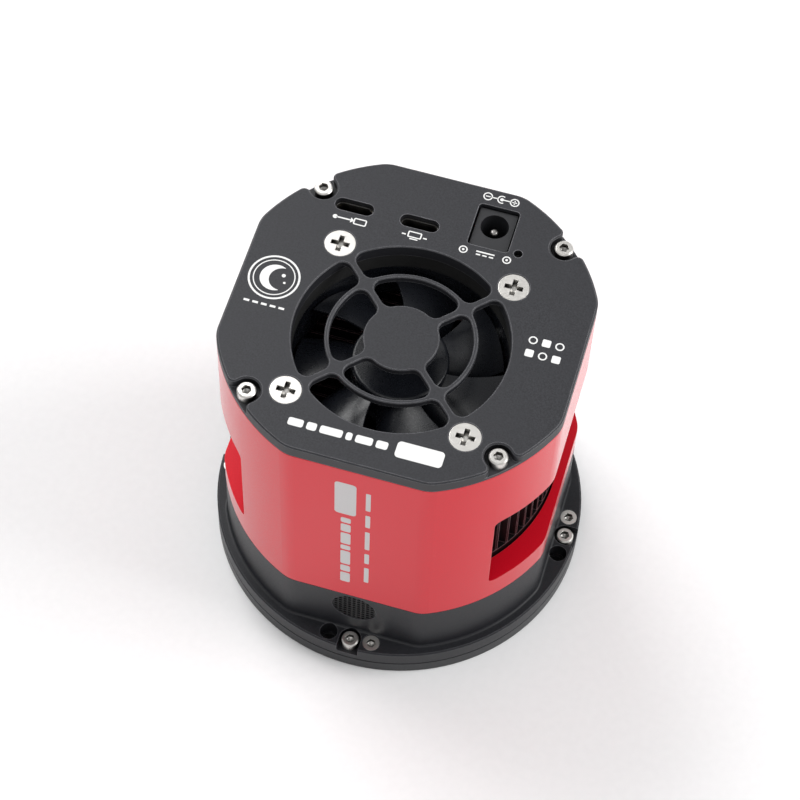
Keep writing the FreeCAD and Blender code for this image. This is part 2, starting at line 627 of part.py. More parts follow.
def make_front_body():
    flange = turned("flange", [
        ("0", "flange_low"),
        ("rim_radius - seam_break", "flange_low"),
        ("rim_radius", "flange_low + seam_break"),
        ("rim_radius", "flange_top - edge_break"),
        ("rim_radius - edge_break", "flange_top"),
        ("0", "flange_top"),
    ])
    wall = body_prism("front_wall", "flange_low", "joint_level")
    blank = break_edges("front_fillet", fuse("front_blank", [flange, wall]), "foot_fillet", is_foot,
                        "Part::Fillet")
    spigot = cylinder("front_spigot", "spigot_radius", "chamber_low", "sink_low")
    bore = turned("front_bore", [
        ("0", f"flange_low - {MARGIN}"),
        ("retainer_radius", f"flange_low - {MARGIN}"),
        ("retainer_radius", "glass_low"),
        ("glass_pocket", "glass_low"),
        ("glass_pocket", "glass_high"),
        ("window_ring_outer", "glass_high"),
        ("window_ring_outer", "window_ring_high"),
        ("window_ring_inner", "window_ring_high"),
        ("window_ring_inner", "glass_high"),
        ("aperture", "glass_high"),
        ("aperture", "chamber_low"),
        ("chamber_radius", "chamber_low"),
        ("chamber_radius", f"sink_low + {MARGIN}"),
        ("0", f"sink_low + {MARGIN}"),
    ])
    groove = ring("front_groove", "chamber_ring_inner", "chamber_ring_outer", "chamber_ring_low",
                  f"sink_low + {MARGIN}")
    tools = flange_openings() + [bore, groove]
    tools.append(port_cylinder("port_mouth", "port_radius", f"-{MARGIN}", "port_depth"))
    tools.append(port_cylinder("port_bore", "port_bore", "0", f"flats / 2 - chamber_radius + {MARGIN}"))
    for k, (x, y) in enumerate(at_corners("body_screw_offset")):
        tools.append(cylinder(f"front_deep_{k}", "body_screw_bore", f"flange_low - {MARGIN}",
                              "body_screw_seat", x, y))
        tools.append(cylinder(f"front_clear_{k}", "cap_clear", "flange_low", f"joint_level + {MARGIN}",
                              x, y))
    shell = cut("front_shell", fuse("front_solid", [blank, spigot]), tools)
    posts = [ring(f"front_post_{k}", "tiny_thread", "post_radius", "chamber_low", "package_high", x, y)
             for k, (x, y) in enumerate(at_corners("post_offset"))]
    node("front_body", fuse("front_with_posts", [shell] + posts))


def is_foot(edge):
    """True for the edges where the wall stands on the flange."""
    reach = max(math.hypot(v.X, v.Y) for v in edge.Vertexes)
    return is_level(edge, "flange_top") and reach < size["corner_radius"] + EDGE_SLACK


def make_chamber_window():
    node("window_retainer", ring("retainer", "lens_thread", "retainer_radius - light_gap",
                                 "flange_low + seal_side_gap", "glass_low"))
    node("window_glass", cylinder("chamber_glass", "glass_radius", "glass_low", "glass_high"))
    node("window_o_ring", ring("window_seal", "window_ring_inner + light_gap",
                               "window_ring_outer - light_gap",
                               "glass_high", "window_ring_high - light_gap"))
    node("dew_heater", ring("heater", "heater_inner", "heater_outer", "chamber_low",
                            "chamber_low + heater_thick"))
    node("chamber_o_ring", ring("chamber_seal", "chamber_ring_inner + light_gap",
                                "chamber_ring_outer - light_gap",
                                "chamber_ring_low", "sink_low"))


def make_desiccant_port():
    face = port_cylinder("mesh_disc", "port_radius - light_gap", "mesh_recess", "mesh_recess + mesh_thick")
    openings = []
    reach = (MESH_ROWS - 1) / 2
    limit = (size["port_radius"] - size["mesh_open"] / 2) / size["mesh_pitch"]
    for column in range(MESH_ROWS):
        for row in range(MESH_ROWS):
            across, rise = column - reach, row - reach
            if math.hypot(across, rise) <= limit:
                opening = box(f"mesh_{column}_{row}", "mesh_open", f"mesh_thick + 2 * {MARGIN}",
                              f"port_level + {rise} * mesh_pitch - mesh_open / 2",
                              f"port_level + {rise} * mesh_pitch + mesh_open / 2",
                              f"{across} * mesh_pitch", "-flats / 2 + mesh_recess + mesh_thick / 2")
                openings.append(opening)
    node("vent_mesh", cut("mesh", face, openings))
    node("vent_membrane", port_cylinder("membrane", "port_radius - light_gap", "mesh_recess + mesh_thick",
                                        "mesh_recess + mesh_thick + membrane_thick"))
    gasket = port_cylinder("port_gasket_outside", "port_radius - light_gap",
                           "mesh_recess + mesh_thick + membrane_thick", "port_depth")
    hollow = port_cylinder("port_gasket_inside", "port_bore", "0", f"port_depth + {MARGIN}")
    node("vent_gasket", cut("port_gasket", gasket, [hollow]))
    node("desiccant_tablet", port_cylinder("tablet", "tablet_radius", "port_depth",
                                           "port_depth + tablet_length"))


# ---------------------------------------------------------------- image sensor and cooler


def make_sensor():
    package = box("package_block", "package_length", "package_width", "package_low", "package_high")
    cavity = box("package_cavity", "cavity_length", "cavity_width", f"package_low - {MARGIN}", "die_high")
    node("sensor_package", cut("package", package, [cavity]))
    node("sensor_die", box("die", "die_length", "die_width", "die_level", "die_high"))
    node("sensor_cover_glass", box("lid", "lid_length", "lid_width", "lid_low", "package_low"))


def make_sensor_board():
    top = "package_high + board_thick"
    disc = cylinder("sensor_board_disc", "sensor_board_radius", "package_high", top)
    tools = [box("sensor_board_opening", "finger_length + 2 * finger_gap", "finger_width + 2 * finger_gap",
                 f"package_high - {MARGIN}", f"{top} + {MARGIN}")]
    screws = []
    for k, (x, y) in enumerate(at_corners("post_offset")):
        tools.append(cylinder(f"sensor_board_hole_{k}", "tiny_clear", "chamber_low",
                              f"{top} + {MARGIN}", x, y))
        screws.append(board_screw(f"sensor_screw_{k}", top, x, y))
    node("sensor_board", cut("sensor_board_drilled", disc, tools))
    node("sensor_board_screws", group("sensor_screws", screws))


def make_cold_finger():
    nose = box("finger_nose", "finger_length", "finger_width", "package_high", "finger_plate_low")
    plate = box("finger_block", "finger_plate", "finger_plate", "finger_plate_low", "finger_plate_high")
    node("cold_finger", fuse("finger", [nose, plate]))


def pellets(name, count, pitch, low):
    """Square field of thermoelectric pellets standing on a level."""
    reach = (count - 1) / 2
    return [
        box(f"{name}_{column}_{row}", "pellet_side", "pellet_side", low, f"{low} + pellet_height",
            f"{column - reach} * {pitch}", f"{row - reach} * {pitch}")
        for column in range(count) for row in range(count)
    ]


def make_cooler():
    cold_top = "finger_plate_high + ceramic"
    middle_low = f"{cold_top} + pellet_height"
    middle_top = f"{middle_low} + ceramic"
    hot_low = f"{middle_top} + pellet_height"
    plates = [
        box("cold_plate", "cold_side", "cold_side", "finger_plate_high", cold_top),
        box("middle_plate", "middle_side", "middle_side", middle_low, middle_top),
        box("hot_plate", "hot_side", "hot_side", hot_low, "pad_low"),
    ]
    node("peltier_plates", group("cooler_plates", plates))
    stages = pellets("cold_pellet", COLD_PELLETS, "cold_pellet_pitch", cold_top)
    stages += pellets("hot_pellet", HOT_PELLETS, "hot_pellet_pitch", middle_top)
    node("peltier_pellets", group("cooler_pellets", stages))
    node("thermal_pad", box("pad", "hot_side", "hot_side", "pad_low", "sink_low"))
    node("insulation_foam", frame_block("foam", "foam_outer", "foam_inner", "foam_low", "foam_high"))


# ---------------------------------------------------------------- housing and heatsink


def air_window(name, side):
    """Rounded opening milled through the wall from one side."""
    tool = box(f"{name}_block", "rim_radius", "2 * window_half", "window_low", "window_high",
               f"{side} * (chamber_radius / 2 + rim_radius / 2)")
    return break_edges(name, tool, "window_round", is_along_x, "Part::Fillet")


def is_along_x(edge):
    box_of_edge = edge.BoundBox
    return max(box_of_edge.YLength, box_of_edge.ZLength) < 1e-6 < box_of_edge.XLength


def is_seam(edge):
    """True for the housing's outer edges at its two seams."""
    return is_level(edge, "joint_level") or is_level(edge, "cover_low")


def make_housing():
    blank = body_prism("housing_blank", "joint_level", "cover_low")
    outside = break_edges("housing_outside", blank, "joint_break", is_seam)
    top = f"cover_low + {MARGIN}"
    tools = [
        cylinder("housing_lower_bore", "lower_bore", f"joint_level - {MARGIN}", top),
        cylinder("housing_bore", "bore", "sink_low", top),
        rounded_block("housing_fan_pocket", "fan_pocket", "fan_pocket", "fan_pocket_low", top,
                      "fan_pocket_round", "0", "fan_y"),
        air_window("housing_window_right", 1),
        air_window("housing_window_left", -1),
    ]
    for k, (x, y) in enumerate(at_corners("cover_screw_offset")):
        tools.append(cylinder(f"housing_cover_thread_{k}", "cap_thread", "cover_thread_low", top, x, y))
    for k, (x, y) in enumerate(at_corners("body_screw_offset")):
        tools.append(cylinder(f"housing_body_thread_{k}", "cap_thread", f"joint_level - {MARGIN}",
                              "body_thread_high", x, y))
    for k, angle in enumerate(SINK_SCREW_ANGLES):
        x, y = on_circle("sink_screw_circle", angle)
        tools.append(cylinder(f"housing_sink_thread_{k}", "cap_thread", f"joint_level + edge_break",
                              f"sink_low + {MARGIN}", x, y))
        tools.append(cylinder(f"housing_sink_relief_{k}", "cap_head + seal_side_gap", "base_top", top,
                              x, y))
    tools.append(box("housing_power_relief", "power_length + 2 * power_gap", "power_width + 2 * power_gap",
                     "port_board_low", top, "power_x", "power_y"))
    node("housing", cut("housing_machined", outside, tools))
    screws = [cap_screw(f"body_screw_{k}", "body_screw_seat", "body_screw_tip", x, y, up=-1)
              for k, (x, y) in enumerate(at_corners("body_screw_offset"))]
    node("body_screws", group("housing_screws", screws))


def make_heatsink():
    base = cylinder("sink_base", "sink_radius", "sink_low", "base_top")
    fins = [
        box(f"fin_{k}", "2 * fin_radius", "fin_thick", "base_top - fin_thick", "fin_top", "0",
            f"fin_first + {k} * fin_pitch")
        for k in range(FIN_COUNT)
    ]
    trimmed = common("fins_trimmed", [group("fins_all", fins),
                                      cylinder("fin_limit", "fin_radius", "sink_low", "fin_top")])
    tools = [box("sink_header_slot", "2 * (header_half + header_gap)",
                 "header_far - header_near + 2 * header_gap",
                 f"sink_low - {MARGIN}", f"base_top + {MARGIN}", "0", "(header_near + header_far) / 2")]
    screws = []
    for k, angle in enumerate(SINK_SCREW_ANGLES):
        x, y = on_circle("sink_screw_circle", angle)
        tools.append(cylinder(f"sink_clear_{k}", "cap_clear", f"sink_low - {MARGIN}",
                              f"base_top + {MARGIN}", x, y))
        tools.append(cylinder(f"sink_pocket_{k}", "sink_screw_pocket", "base_top",
                              f"fin_top + {MARGIN}", x, y))
        screws.append(cap_screw(f"sink_screw_{k}", "base_top", "sink_screw_tip", x, y))
    node("heatsink", cut("sink_machined", fuse("sink_blank", [base, trimmed]), tools))
    node("heatsink_screws", group("sink_screws", screws))


# ---------------------------------------------------------------- circuit boards and sockets


def block(name, low_corner, high_corner):
    """Block between two corners given as formulas."""
    part = doc.addObject("Part::Box", name)
    for prop, low, high in zip(("Length", "Width", "Height"), low_corner, high_corner):
        bind(part, prop, f"({high}) - ({low})")
    place(part, *low_corner)
    return part


def make_main_board():
    far = "main_board_near + board_thick"
    node("main_board", block("main_board_block", ("-main_board_half", "main_board_near", "main_board_low"),
                             ("main_board_half", far, "main_board_high")))
    header = block("header_block", ("-header_half", "header_near", "package_high + board_thick"),
                   ("header_half", "header_far", "main_board_low"))
    node("feedthrough_header", header)
    chip_sizes = [  # middle x, middle z, width, height, thickness
        (0.0, 51.0, 17.0, 17.0, 1.6),
        (-15.5, 55.0, 9.0, 13.0, 1.1),
        (15.5, 55.0, 9.0, 13.0, 1.1),
        (-14.0, 42.5, 7.0, 7.0, 0.9),
        (13.0, 42.5, 10.0, 8.0, 2.4),
        (0.0, 64.5, 12.0, 5.0, 1.0),
    ]
    chips = [
        block(f"chip_{k}", (f"{x - width / 2}", far, f"{z - height / 2}"),
              (f"{x + width / 2}", f"{far} + {thick}", f"{z + height / 2}"))
        for k, (x, z, width, height, thick) in enumerate(chip_sizes)
    ]
    node("main_board_chips", group("chips", chips))
    node("board_connector", block("link_block", ("-link_half", "link_near", "link_low"),
                                  ("link_half", "main_board_near", "port_board_low")))


def make_socket_board():
    top = "port_board_low + board_thick"
    disc = cylinder("socket_board_disc", "port_board_radius", "port_board_low", top)
    half = block("socket_board_half", ("-rim_radius", "port_board_near", "port_board_low"),
                 ("rim_radius", "rim_radius", top))
    holes = []
    screws = []
    for k, (x, y) in enumerate(SOCKET_POSTS):
        holes.append(cylinder(f"socket_board_hole_{k}", "tiny_clear", "fan_low", "cover_low", x, y))
        screws.append(board_screw(f"socket_screw_{k}", "port_board_low", x, y, up=-1))
    node("socket_board", cut("socket_board_drilled", common("socket_board_blank", [disc, half]), holes))
    node("socket_board_screws", group("socket_screws", screws))
    posts = [ring(f"socket_post_{k}", "tiny_thread", "cover_post", top, "cover_low", x, y)
             for k, (x, y) in enumerate(SOCKET_POSTS)]
    node("socket_board_posts", group("socket_posts", posts))


def stadium(name, length, width, low, high, x, y):
    """Upright prism with two half-round ends, along X."""
    middle = box(f"{name}_middle", f"({length}) - ({width})", width, low, high, x, y)
    ends = [cylinder(f"{name}_end_{k}", f"({width}) / 2", low, high,
                     f"({x}) + {k} * (({length}) - ({width})) / 2", y) for k in (-1, 1)]
    return fuse(name, [middle] + ends)


def make_data_sockets():
    floor = "port_board_low + board_thick"
    shells = []
    tongues = []
    for name, x in (("device", "device_x"), ("main", "main_x")):
        outside = stadium(f"{name}_shell_outside", "shell_length", "shell_width", floor, "shell_top", x,
                          "socket_line")
        inside = stadium(f"{name}_shell_inside", "shell_length - 2 * shell_wall",
                         "shell_width - 2 * shell_wall",
                         "socket_floor", f"shell_top + {MARGIN}", x, "socket_line")
        shells.append(cut(f"{name}_shell", outside, [inside]))
        tongues.append(box(f"{name}_tongue", "tongue_length", "tongue_width", "socket_floor",
                           "tongue_top", x,
                           "socket_line"))
    node("usb_shells", group("data_shells", shells))
    node("usb_tongues", group("data_tongues", tongues))


def make_power_socket():
    floor = "port_board_low + board_thick"
    body = box("power_block", "power_length - 2 * power_gap", "power_width - 2 * power_gap", floor,
               "power_top",
               "power_x", "power_y")
    axis_y = "power_y + power_bore_back"
    bore = cylinder("power_hole", "power_bore", "power_floor", f"power_top + {MARGIN}", "power_x", axis_y)
    node("dc_jack_body", cut("power_body", body, [bore]))
    node("dc_jack_pin", cylinder("power_pin_rod", "power_pin", "power_floor", "power_pin_top",
                                 "power_x", axis_y))


def make_status_light():
    node("light_pipe", cylinder("light_rod", "light_radius - light_gap", "port_board_low + board_thick",
                                "light_top", "light_x", "light_y"))


# ---------------------------------------------------------------- rear cover


def grille_cells():
    """The grille's openings: two rings of quarter cells with rounded corners."""
    low, high = f"cover_low - {MARGIN}", f"cover_top + {MARGIN}"
    ring_in = "grille_ring - grille_ring_width / 2"
    ring_out = "grille_ring + grille_ring_width / 2"
    cells = []
    for name, inner, outer in (("inner_cell", "grille_disc", ring_in),
                               ("outer_cell", ring_out, "grille_radius")):
        annulus = ring(f"{name}_ring", inner, outer, low, high, "0", "fan_y")
        bars = []
        for k, angle in enumerate((45, 135)):
            bar = box(f"{name}_bar_{k}", "2 * rim_radius", "spoke_width", low, high)
            bar.Placement.Rotation = Rotation(Vector(0, 0, 1), angle)
            reach_x, reach_y = on_circle("rim_radius", angle)
            side_x, side_y = on_circle("spoke_width / 2", f"{angle} + 90")
            place(bar, f"-({reach_x}) - ({side_x})", f"fan_y - ({reach_y}) - ({side_y})", low)
            bars.append(bar)
        sharp = cut(f"{name}_sharp", annulus, bars)
        cells.append(break_edges(name, sharp, "cell_round", is_upright, "Part::Fillet"))
    return cells


def cover_notch(name, sx, sy):
    """U-shaped slot round a cover screw, open to the corner arc, with a rounded mouth."""
    angle = math.degrees(math.atan2(sy, sx))
    high = f"cover_top + {MARGIN}"
    x, y = f"{sx} * cover_screw_offset", f"{sy} * cover_screw_offset"
    end = cylinder(f"{name}_end", "cover_notch_width / 2", "cover_notch_floor", high, x, y)
    reach = f"rim_radius - corner_radius + 2 * mouth_round + {MARGIN}"
    slot = box(f"{name}_slot", reach, "cover_notch_width",
               "cover_notch_floor", high)
    slot.Placement.Rotation = Rotation(Vector(0, 0, 1), angle)
    side_x, side_y = on_circle("cover_notch_width / 2", f"{angle} - 90")
    place(slot, f"{x} + ({side_x})", f"{y} + ({side_y})", "cover_notch_floor")
    return fuse(name, [end, slot])


def make_rear_cover():
    plate = body_prism("cover_blank", "cover_low", "cover_top")
    notched = cut("cover_notched", plate, [cover_notch(f"notch_{k}", sx, sy) for k,
                                           (sx, sy) in enumerate(CORNERS)])
    rounded = break_edges("cover_mouths", notched, "mouth_round", is_mouth, "Part::Fillet")
    outside = break_edges("cover_outside", rounded, "edge_break", is_cover_rim)
    low, high = f"cover_low - {MARGIN}", f"cover_top + {MARGIN}"
    grille = break_edges("cover_grille", cut("cover_cells", outside, grille_cells()), "cell_break",
                         is_cell_edge)
    tools = [cylinder("grille_pocket", "grille_radius", low, "grille_low", "0", "fan_y")]
    for name, x in (("device", "device_x"), ("main", "main_x")):
        tools.append(stadium(f"{name}_slot", "slot_length", "slot_width", low, high, x, "socket_line"))
    tools.append(rounded_block("power_opening", "power_length", "power_width", low, high, "power_round",
                               "power_x", "power_y"))
    tools.append(cylinder("light_hole", "light_radius", low, high, "light_x", "light_y"))
    for k, (x, y) in enumerate(at_corners("fan_hole_offset", "fan_y")):
        tools.append(cylinder(f"cover_fan_hole_{k}", "fan_screw_shank + sink_recess", low, high, x, y))
        tools.append(cone(f"cover_fan_sink_{k}", "fan_screw_shank + sink_recess",
                          "fan_screw_head + sink_recess",
                          "fan_screw_head_low", "fan_screw_top", x, y))
        tools.append(cylinder(f"cover_fan_mouth_{k}", "fan_screw_head + sink_recess", "fan_screw_top",
                              high, x, y))
    for k, (x, y) in enumerate(at_corners("cover_screw_offset")):
        tools.append(cylinder(f"cover_clear_{k}", "cap_clear", low, high, x, y))
    node("rear_cover", cut("cover_machined", grille, tools))


def is_mouth(edge):
    """True for the upright edges where a notch meets the corner arc."""
    if not is_upright(edge):
        return False
    corner = edge.Vertexes[0]
    on_arc = abs(math.hypot(corner.X, corner.Y) - size["corner_radius"]) < EDGE_SLACK
    near_diagonal = abs(abs(corner.X) - abs(corner.Y)) < size["cover_notch_width"]
    return on_arc and near_diagonal


def is_cover_rim(edge):
    """True for the cover's outer edge at its top face, away from the notches."""
    if not is_level(edge, "cover_top"):
        return False
    middle = edge.valueAt((edge.FirstParameter + edge.LastParameter) / 2)
    on_flat = max(abs(middle.x), abs(middle.y)) > size["flats"] / 2 - RIM_BAND
    return on_flat or math.hypot(middle.x, middle.y) > size["corner_radius"] - EDGE_SLACK


def is_cell_edge(edge):
    """True for the edges of the grille's cells at the cover's top face."""
    if not is_level(edge, "cover_top"):
        return False
    middle = edge.valueAt((edge.FirstParameter + edge.LastParameter) / 2)
    return math.hypot(middle.x, middle.y - size["fan_y"]) < size["grille_radius"] + EDGE_SLACK


def make_cover_screws():
    screws = [cap_screw(f"cover_screw_{k}", "cover_notch_floor", "cover_screw_tip", x, y)
              for k, (x, y) in enumerate(at_corners("cover_screw_offset"))]
    node("cover_screws", group("cover_screw_set", screws))


def cross_screw(name, x, y):
    """Countersunk screw with a cross recess."""
    head = cone(f"{name}_head", "fan_screw_shank", "fan_screw_head", "fan_screw_head_low",
                "fan_screw_top", x, y)
    shank = cylinder(f"{name}_shank", "fan_screw_shank", "fan_screw_tip", "fan_screw_head_low", x, y)
    floor, face = "fan_screw_top - cross_depth", f"fan_screw_top + {MARGIN}"
    slots = [box(f"{name}_slot_x", "cross_length", "cross_width", floor, face, x, y),
             box(f"{name}_slot_y", "cross_width", "cross_length", floor, face, x, y),
             cone(f"{name}_point", "0", "cross_width", f"{floor} - drill_point", floor, x, y)]
    return cut(name, fuse(f"{name}_solid", [head, shank]), slots)


def make_fan_screws():
    screws = [cross_screw(f"fan_screw_{k}", x, y)
              for k, (x, y) in enumerate(at_corners("fan_hole_offset", "fan_y"))]
    node("fan_screws", group("fan_screw_set", screws))


# ---------------------------------------------------------------- fan


def make_fan_frame():
    outside = rounded_block("fan_outside", "fan_side", "fan_side", "fan_low", "fan_high", "fan_round",
                            "0", "fan_y")
    tools = [cylinder("fan_duct", "duct_radius", f"fan_low - {MARGIN}", f"cover_low + {MARGIN}", "0",
                      "fan_y")]
    for k, (x, y) in enumerate(at_corners("fan_hole_offset", "fan_y")):
        tools.append(cylinder(f"fan_hole_{k}", "fan_hole", f"fan_low - {MARGIN}",
                              f"cover_low + {MARGIN}", x, y))
    shell = cut("fan_shell", outside, tools)
    struts = []
    for k in range(STRUT_COUNT):
        angle = 45 + 360 / STRUT_COUNT * k
        strut = box(f"strut_{k}", "duct_radius + light_radius / 2", "strut_width", "fan_low", "strut_top")
        strut.Placement.Rotation = Rotation(Vector(0, 0, 1), angle)
        side_x, side_y = on_circle("strut_width / 2", f"{angle} - 90")
        place(strut, side_x, f"fan_y + ({side_y})", "fan_low")
        struts.append(strut)
    seat = cylinder("motor_seat", "seat_radius", "fan_low", "strut_top", "0", "fan_y")
    tube = cylinder("bearing_tube", "tube_outer", "fan_low", "tube_top", "0", "fan_y")
    bore = cylinder("bearing_bore", "tube_inner", "strut_top", f"tube_top + {MARGIN}", "0", "fan_y")
    node("fan_frame", cut("fan_body", fuse("fan_solid", [shell, seat, tube] + struts), [bore]))


def make_fan_gasket():
    outside = rounded_block("gasket_outside", "gasket_side", "gasket_side", "fan_high", "cover_low",
                            "fan_round",
                            "0", "fan_y")
    tools = [cylinder("gasket_opening", "duct_radius", f"fan_high - {MARGIN}", f"cover_low + {MARGIN}",
                      "0", "fan_y")]
    for k, (x, y) in enumerate(at_corners("fan_hole_offset", "fan_y")):
        tools.append(cylinder(f"gasket_hole_{k}", "fan_hole", f"fan_high - {MARGIN}",
                              f"cover_low + {MARGIN}", x, y))
    node("fan_gasket", cut("gasket", outside, tools))


def make_fan_motor():
    bearings = [ring(f"bearing_{k}", "bearing_inner", "bearing_outer", low, f"{low} + bearing_height",
                     "0", "fan_y")
                for k, low in enumerate(("bearing_a", "bearing_b"))]
    node("fan_bearings", group("bearing_pair", bearings))
    node("fan_circuit_board", ring("motor_board", "tube_outer + light_gap", "motor_board_radius",
                                   "strut_top",
                                   "motor_board_high", "0", "fan_y"))
    collar = ring("core_collar", "tube_outer", "tube_outer + pole_neck / 2", "core_low", "core_high",
                  "0", "fan_y")
    tips = ring("core_tips", "core_radius - pole_neck / 2", "core_radius", "core_low", "core_high", "0",
                "fan_y")
    gaps, necks, coils = [], [], []
    for k in range(POLE_COUNT):
        angle = 360 / POLE_COUNT * k
        half = "coil_thick + pole_neck / 2"
        neck_low, neck_high = "tube_outer + pole_neck / 4", "core_radius - pole_neck / 4"
        necks.append(spoke(f"neck_{k}", angle, neck_low, neck_high, "pole_neck / 2", "core_low",
                           "core_high"))
        inner = "tube_outer + pole_neck / 2 + light_gap"
        outer = "core_radius - pole_neck / 2 - coil_thick / 2"
        coil = spoke(f"coil_{k}_outside", angle, f"{inner} + coil_set_out", outer, half,
                     "core_low - coil_thick", "core_high + coil_thick")
        hole = spoke(f"coil_{k}_inside", angle, inner, f"{outer} + {MARGIN}", "pole_neck / 2",
                     "core_low", "core_high")
        coils.append(cut(f"coil_{k}", coil, [hole]))
        gaps.append(spoke(f"gap_{k}", angle + 180 / POLE_COUNT, "core_radius - pole_neck",
                          f"core_radius + {MARGIN}", "pole_neck / 3", f"core_low - {MARGIN}",
                          f"core_high + {MARGIN}"))
    node("fan_stator", fuse("core", [collar, cut("core_tips_split", tips, gaps)] + necks))
    node("fan_windings", group("windings", coils))


def spoke(name, angle, inner, outer, half_width, low, high):
    """Block that reaches out from the fan's axis at an angle, between two radii."""
    part = box(name, f"({outer}) - ({inner})", f"2 * ({half_width})", low, high)
    part.Placement.Rotation = Rotation(Vector(0, 0, 1), angle)
    near_x, near_y = on_circle(inner, angle)
    side_x, side_y = on_circle(half_width, f"{angle} - 90")
    place(part, f"({near_x}) + ({side_x})", f"fan_y + ({near_y}) + ({side_y})", low)
    return part


def blade_section(radius, low_angle, high_angle):
    """Closed section of a fan blade whose lower and upper edges lie at two angles on a radius."""
    half_angle = math.radians(high_angle - low_angle) / 2
    reach, rise = radius * math.sin(half_angle), (size["blade_high"] - size["blade_low"]) / 2
    thick = size["blade_thick"]
    slope = math.atan2(rise - thick / 2, reach)
    along = Vector(0, math.cos(slope), math.sin(slope))
    across = Vector(0, -math.sin(slope), math.cos(slope))
    centre = Vector(radius * math.cos(half_angle), 0, size["blade_low"] + rise)
    half_chord = math.hypot(reach, rise - thick / 2)
    bow = across * BLADE_BOW * half_chord
    upper = [centre - along * half_chord, centre + bow + across * thick / 2, centre + along * half_chord]
    lower = [upper[2] - across * thick / 2, centre + bow - across * thick / 2,
             upper[0] - across * thick / 2]
    edges = [
        Part.Arc(*upper).toShape(),
        Part.makeLine(upper[2], lower[0]),
        Part.Arc(*lower).toShape(),
        Part.makeLine(lower[2], upper[0]),
    ]
    wire = Part.Wire(edges)
    wire.rotate(Vector(0, 0, 0), Vector(0, 0, 1), (low_angle + high_angle) / 2)
    return wire


def make_fan_rotor():
    """Hub cup with seven swept blades, its magnet ring and its shaft."""
    root = size["hub_radius"] - size["hub_wall"] / 2
    blade = Part.makeLoft([blade_section(*section) for section in BLADE_SECTIONS], True)
    limit_outer = Part.makeCylinder(size["blade_tip"], size["cover_top"])
    limit_inner = Part.makeCylinder(root, size["cover_top"])
    blade = blade.common(limit_outer).cut(limit_inner)
    hub_outside = Part.makeCylinder(size["hub_radius"], size["hub_high"] - size["hub_low"],
                                    Vector(0, 0, size["hub_low"]))
    crown = [edge for edge in hub_outside.Edges
             if edge.BoundBox.ZMin > size["hub_high"] - 1e-3 and edge.Closed]
    hub_outside = hub_outside.makeFillet(size["hub_round"], crown)
    hub_inside = Part.makeCylinder(size["hub_radius"] - size["hub_wall"],
                                   size["hub_high"] - size["hub_low"] - size["hub_wall"],
                                   Vector(0, 0, size["hub_low"]))
    hub = hub_outside.cut(hub_inside)
    blades = [blade.copy().rotate(Vector(0, 0, 0), Vector(0, 0, 1), 360 / BLADE_COUNT * k)
              for k in range(BLADE_COUNT)]
    rotor = hub.multiFuse(blades)
    shape_holder = doc.addObject("Part::Feature", "rotor_shape")
    shape_holder.Shape = rotor
    shape_holder.Placement = Placement(Vector(0, size["fan_y"], 0), Rotation())
    node("fan_rotor", shape_holder)
    node("fan_magnet", ring("magnet", "magnet_inner", "hub_radius - hub_wall", "magnet_low", "magnet_high",
                            "0", "fan_y"))
    node("fan_shaft", cylinder("shaft", "shaft_radius", "shaft_low", "hub_high - hub_wall", "0", "fan_y"))


# ---------------------------------------------------------------- build, check and write


def check_objects():
    """Stop if any object failed, or a node is empty, invalid or not solid."""
    for item in doc.Objects:
        if "Invalid" in item.State or "Error" in item.State:
            raise RuntimeError(f"{item.Name} failed: {item.State}")
    for name, part in nodes.items():
        shape = part.Shape
        if shape.isNull() or not shape.isValid() or not shape.Solids:
            raise RuntimeError(f"{name} is not a valid solid")


def write_nodes():
    os.makedirs("parts", exist_ok=True)
    for name, part in nodes.items():
        part.Shape.exportStep(f"parts/{name}.step")
        print(f"{name:24s} {len(part.Shape.Solids):3d} solids {part.Shape.Volume:10.1f} mm3")
    print(len(nodes), "nodes")


fill_sheet()
for make in (
    make_tilt_plate, make_light_seal_ring, make_tilt_screws, make_front_body, make_chamber_window,
    make_desiccant_port, make_sensor, make_sensor_board, make_cold_finger, make_cooler, make_housing,
    make_heatsink, make_main_board, make_socket_board, make_data_sockets, make_power_socket,
    make_status_light, make_rear_cover, make_cover_screws, make_fan_screws, make_fan_frame,
    make_fan_gasket, make_fan_motor, make_fan_rotor,
):
    make()
doc.recompute()
check_objects()
write_nodes()
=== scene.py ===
"""Looks of the cooled astronomy camera: materials, printed marks, small details and the studio.

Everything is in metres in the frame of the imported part: +Z runs up the optical axis to the fan
side, +Y points at the sockets, and the part stands on its tilt plate. Sizes of materials and
marks are given in millimetres and multiplied by MM.
"""
import json
import math

import bmesh
import bpy
from mathutils import Matrix, Vector


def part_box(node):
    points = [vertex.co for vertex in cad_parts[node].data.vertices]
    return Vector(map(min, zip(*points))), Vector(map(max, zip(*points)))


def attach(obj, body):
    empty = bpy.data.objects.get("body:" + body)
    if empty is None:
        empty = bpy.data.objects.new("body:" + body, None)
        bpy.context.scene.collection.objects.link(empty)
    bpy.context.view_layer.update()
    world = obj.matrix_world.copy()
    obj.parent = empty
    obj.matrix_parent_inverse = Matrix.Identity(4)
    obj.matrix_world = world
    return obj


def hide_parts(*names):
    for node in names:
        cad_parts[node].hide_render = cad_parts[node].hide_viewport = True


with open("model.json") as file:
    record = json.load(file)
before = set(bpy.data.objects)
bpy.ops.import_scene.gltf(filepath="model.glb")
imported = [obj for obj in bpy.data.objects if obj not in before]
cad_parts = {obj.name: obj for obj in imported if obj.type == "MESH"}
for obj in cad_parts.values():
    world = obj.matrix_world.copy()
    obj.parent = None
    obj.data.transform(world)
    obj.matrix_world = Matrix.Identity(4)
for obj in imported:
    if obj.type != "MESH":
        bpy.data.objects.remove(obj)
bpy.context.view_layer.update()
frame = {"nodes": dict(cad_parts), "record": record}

MM = 0.001
BODY = "camera"

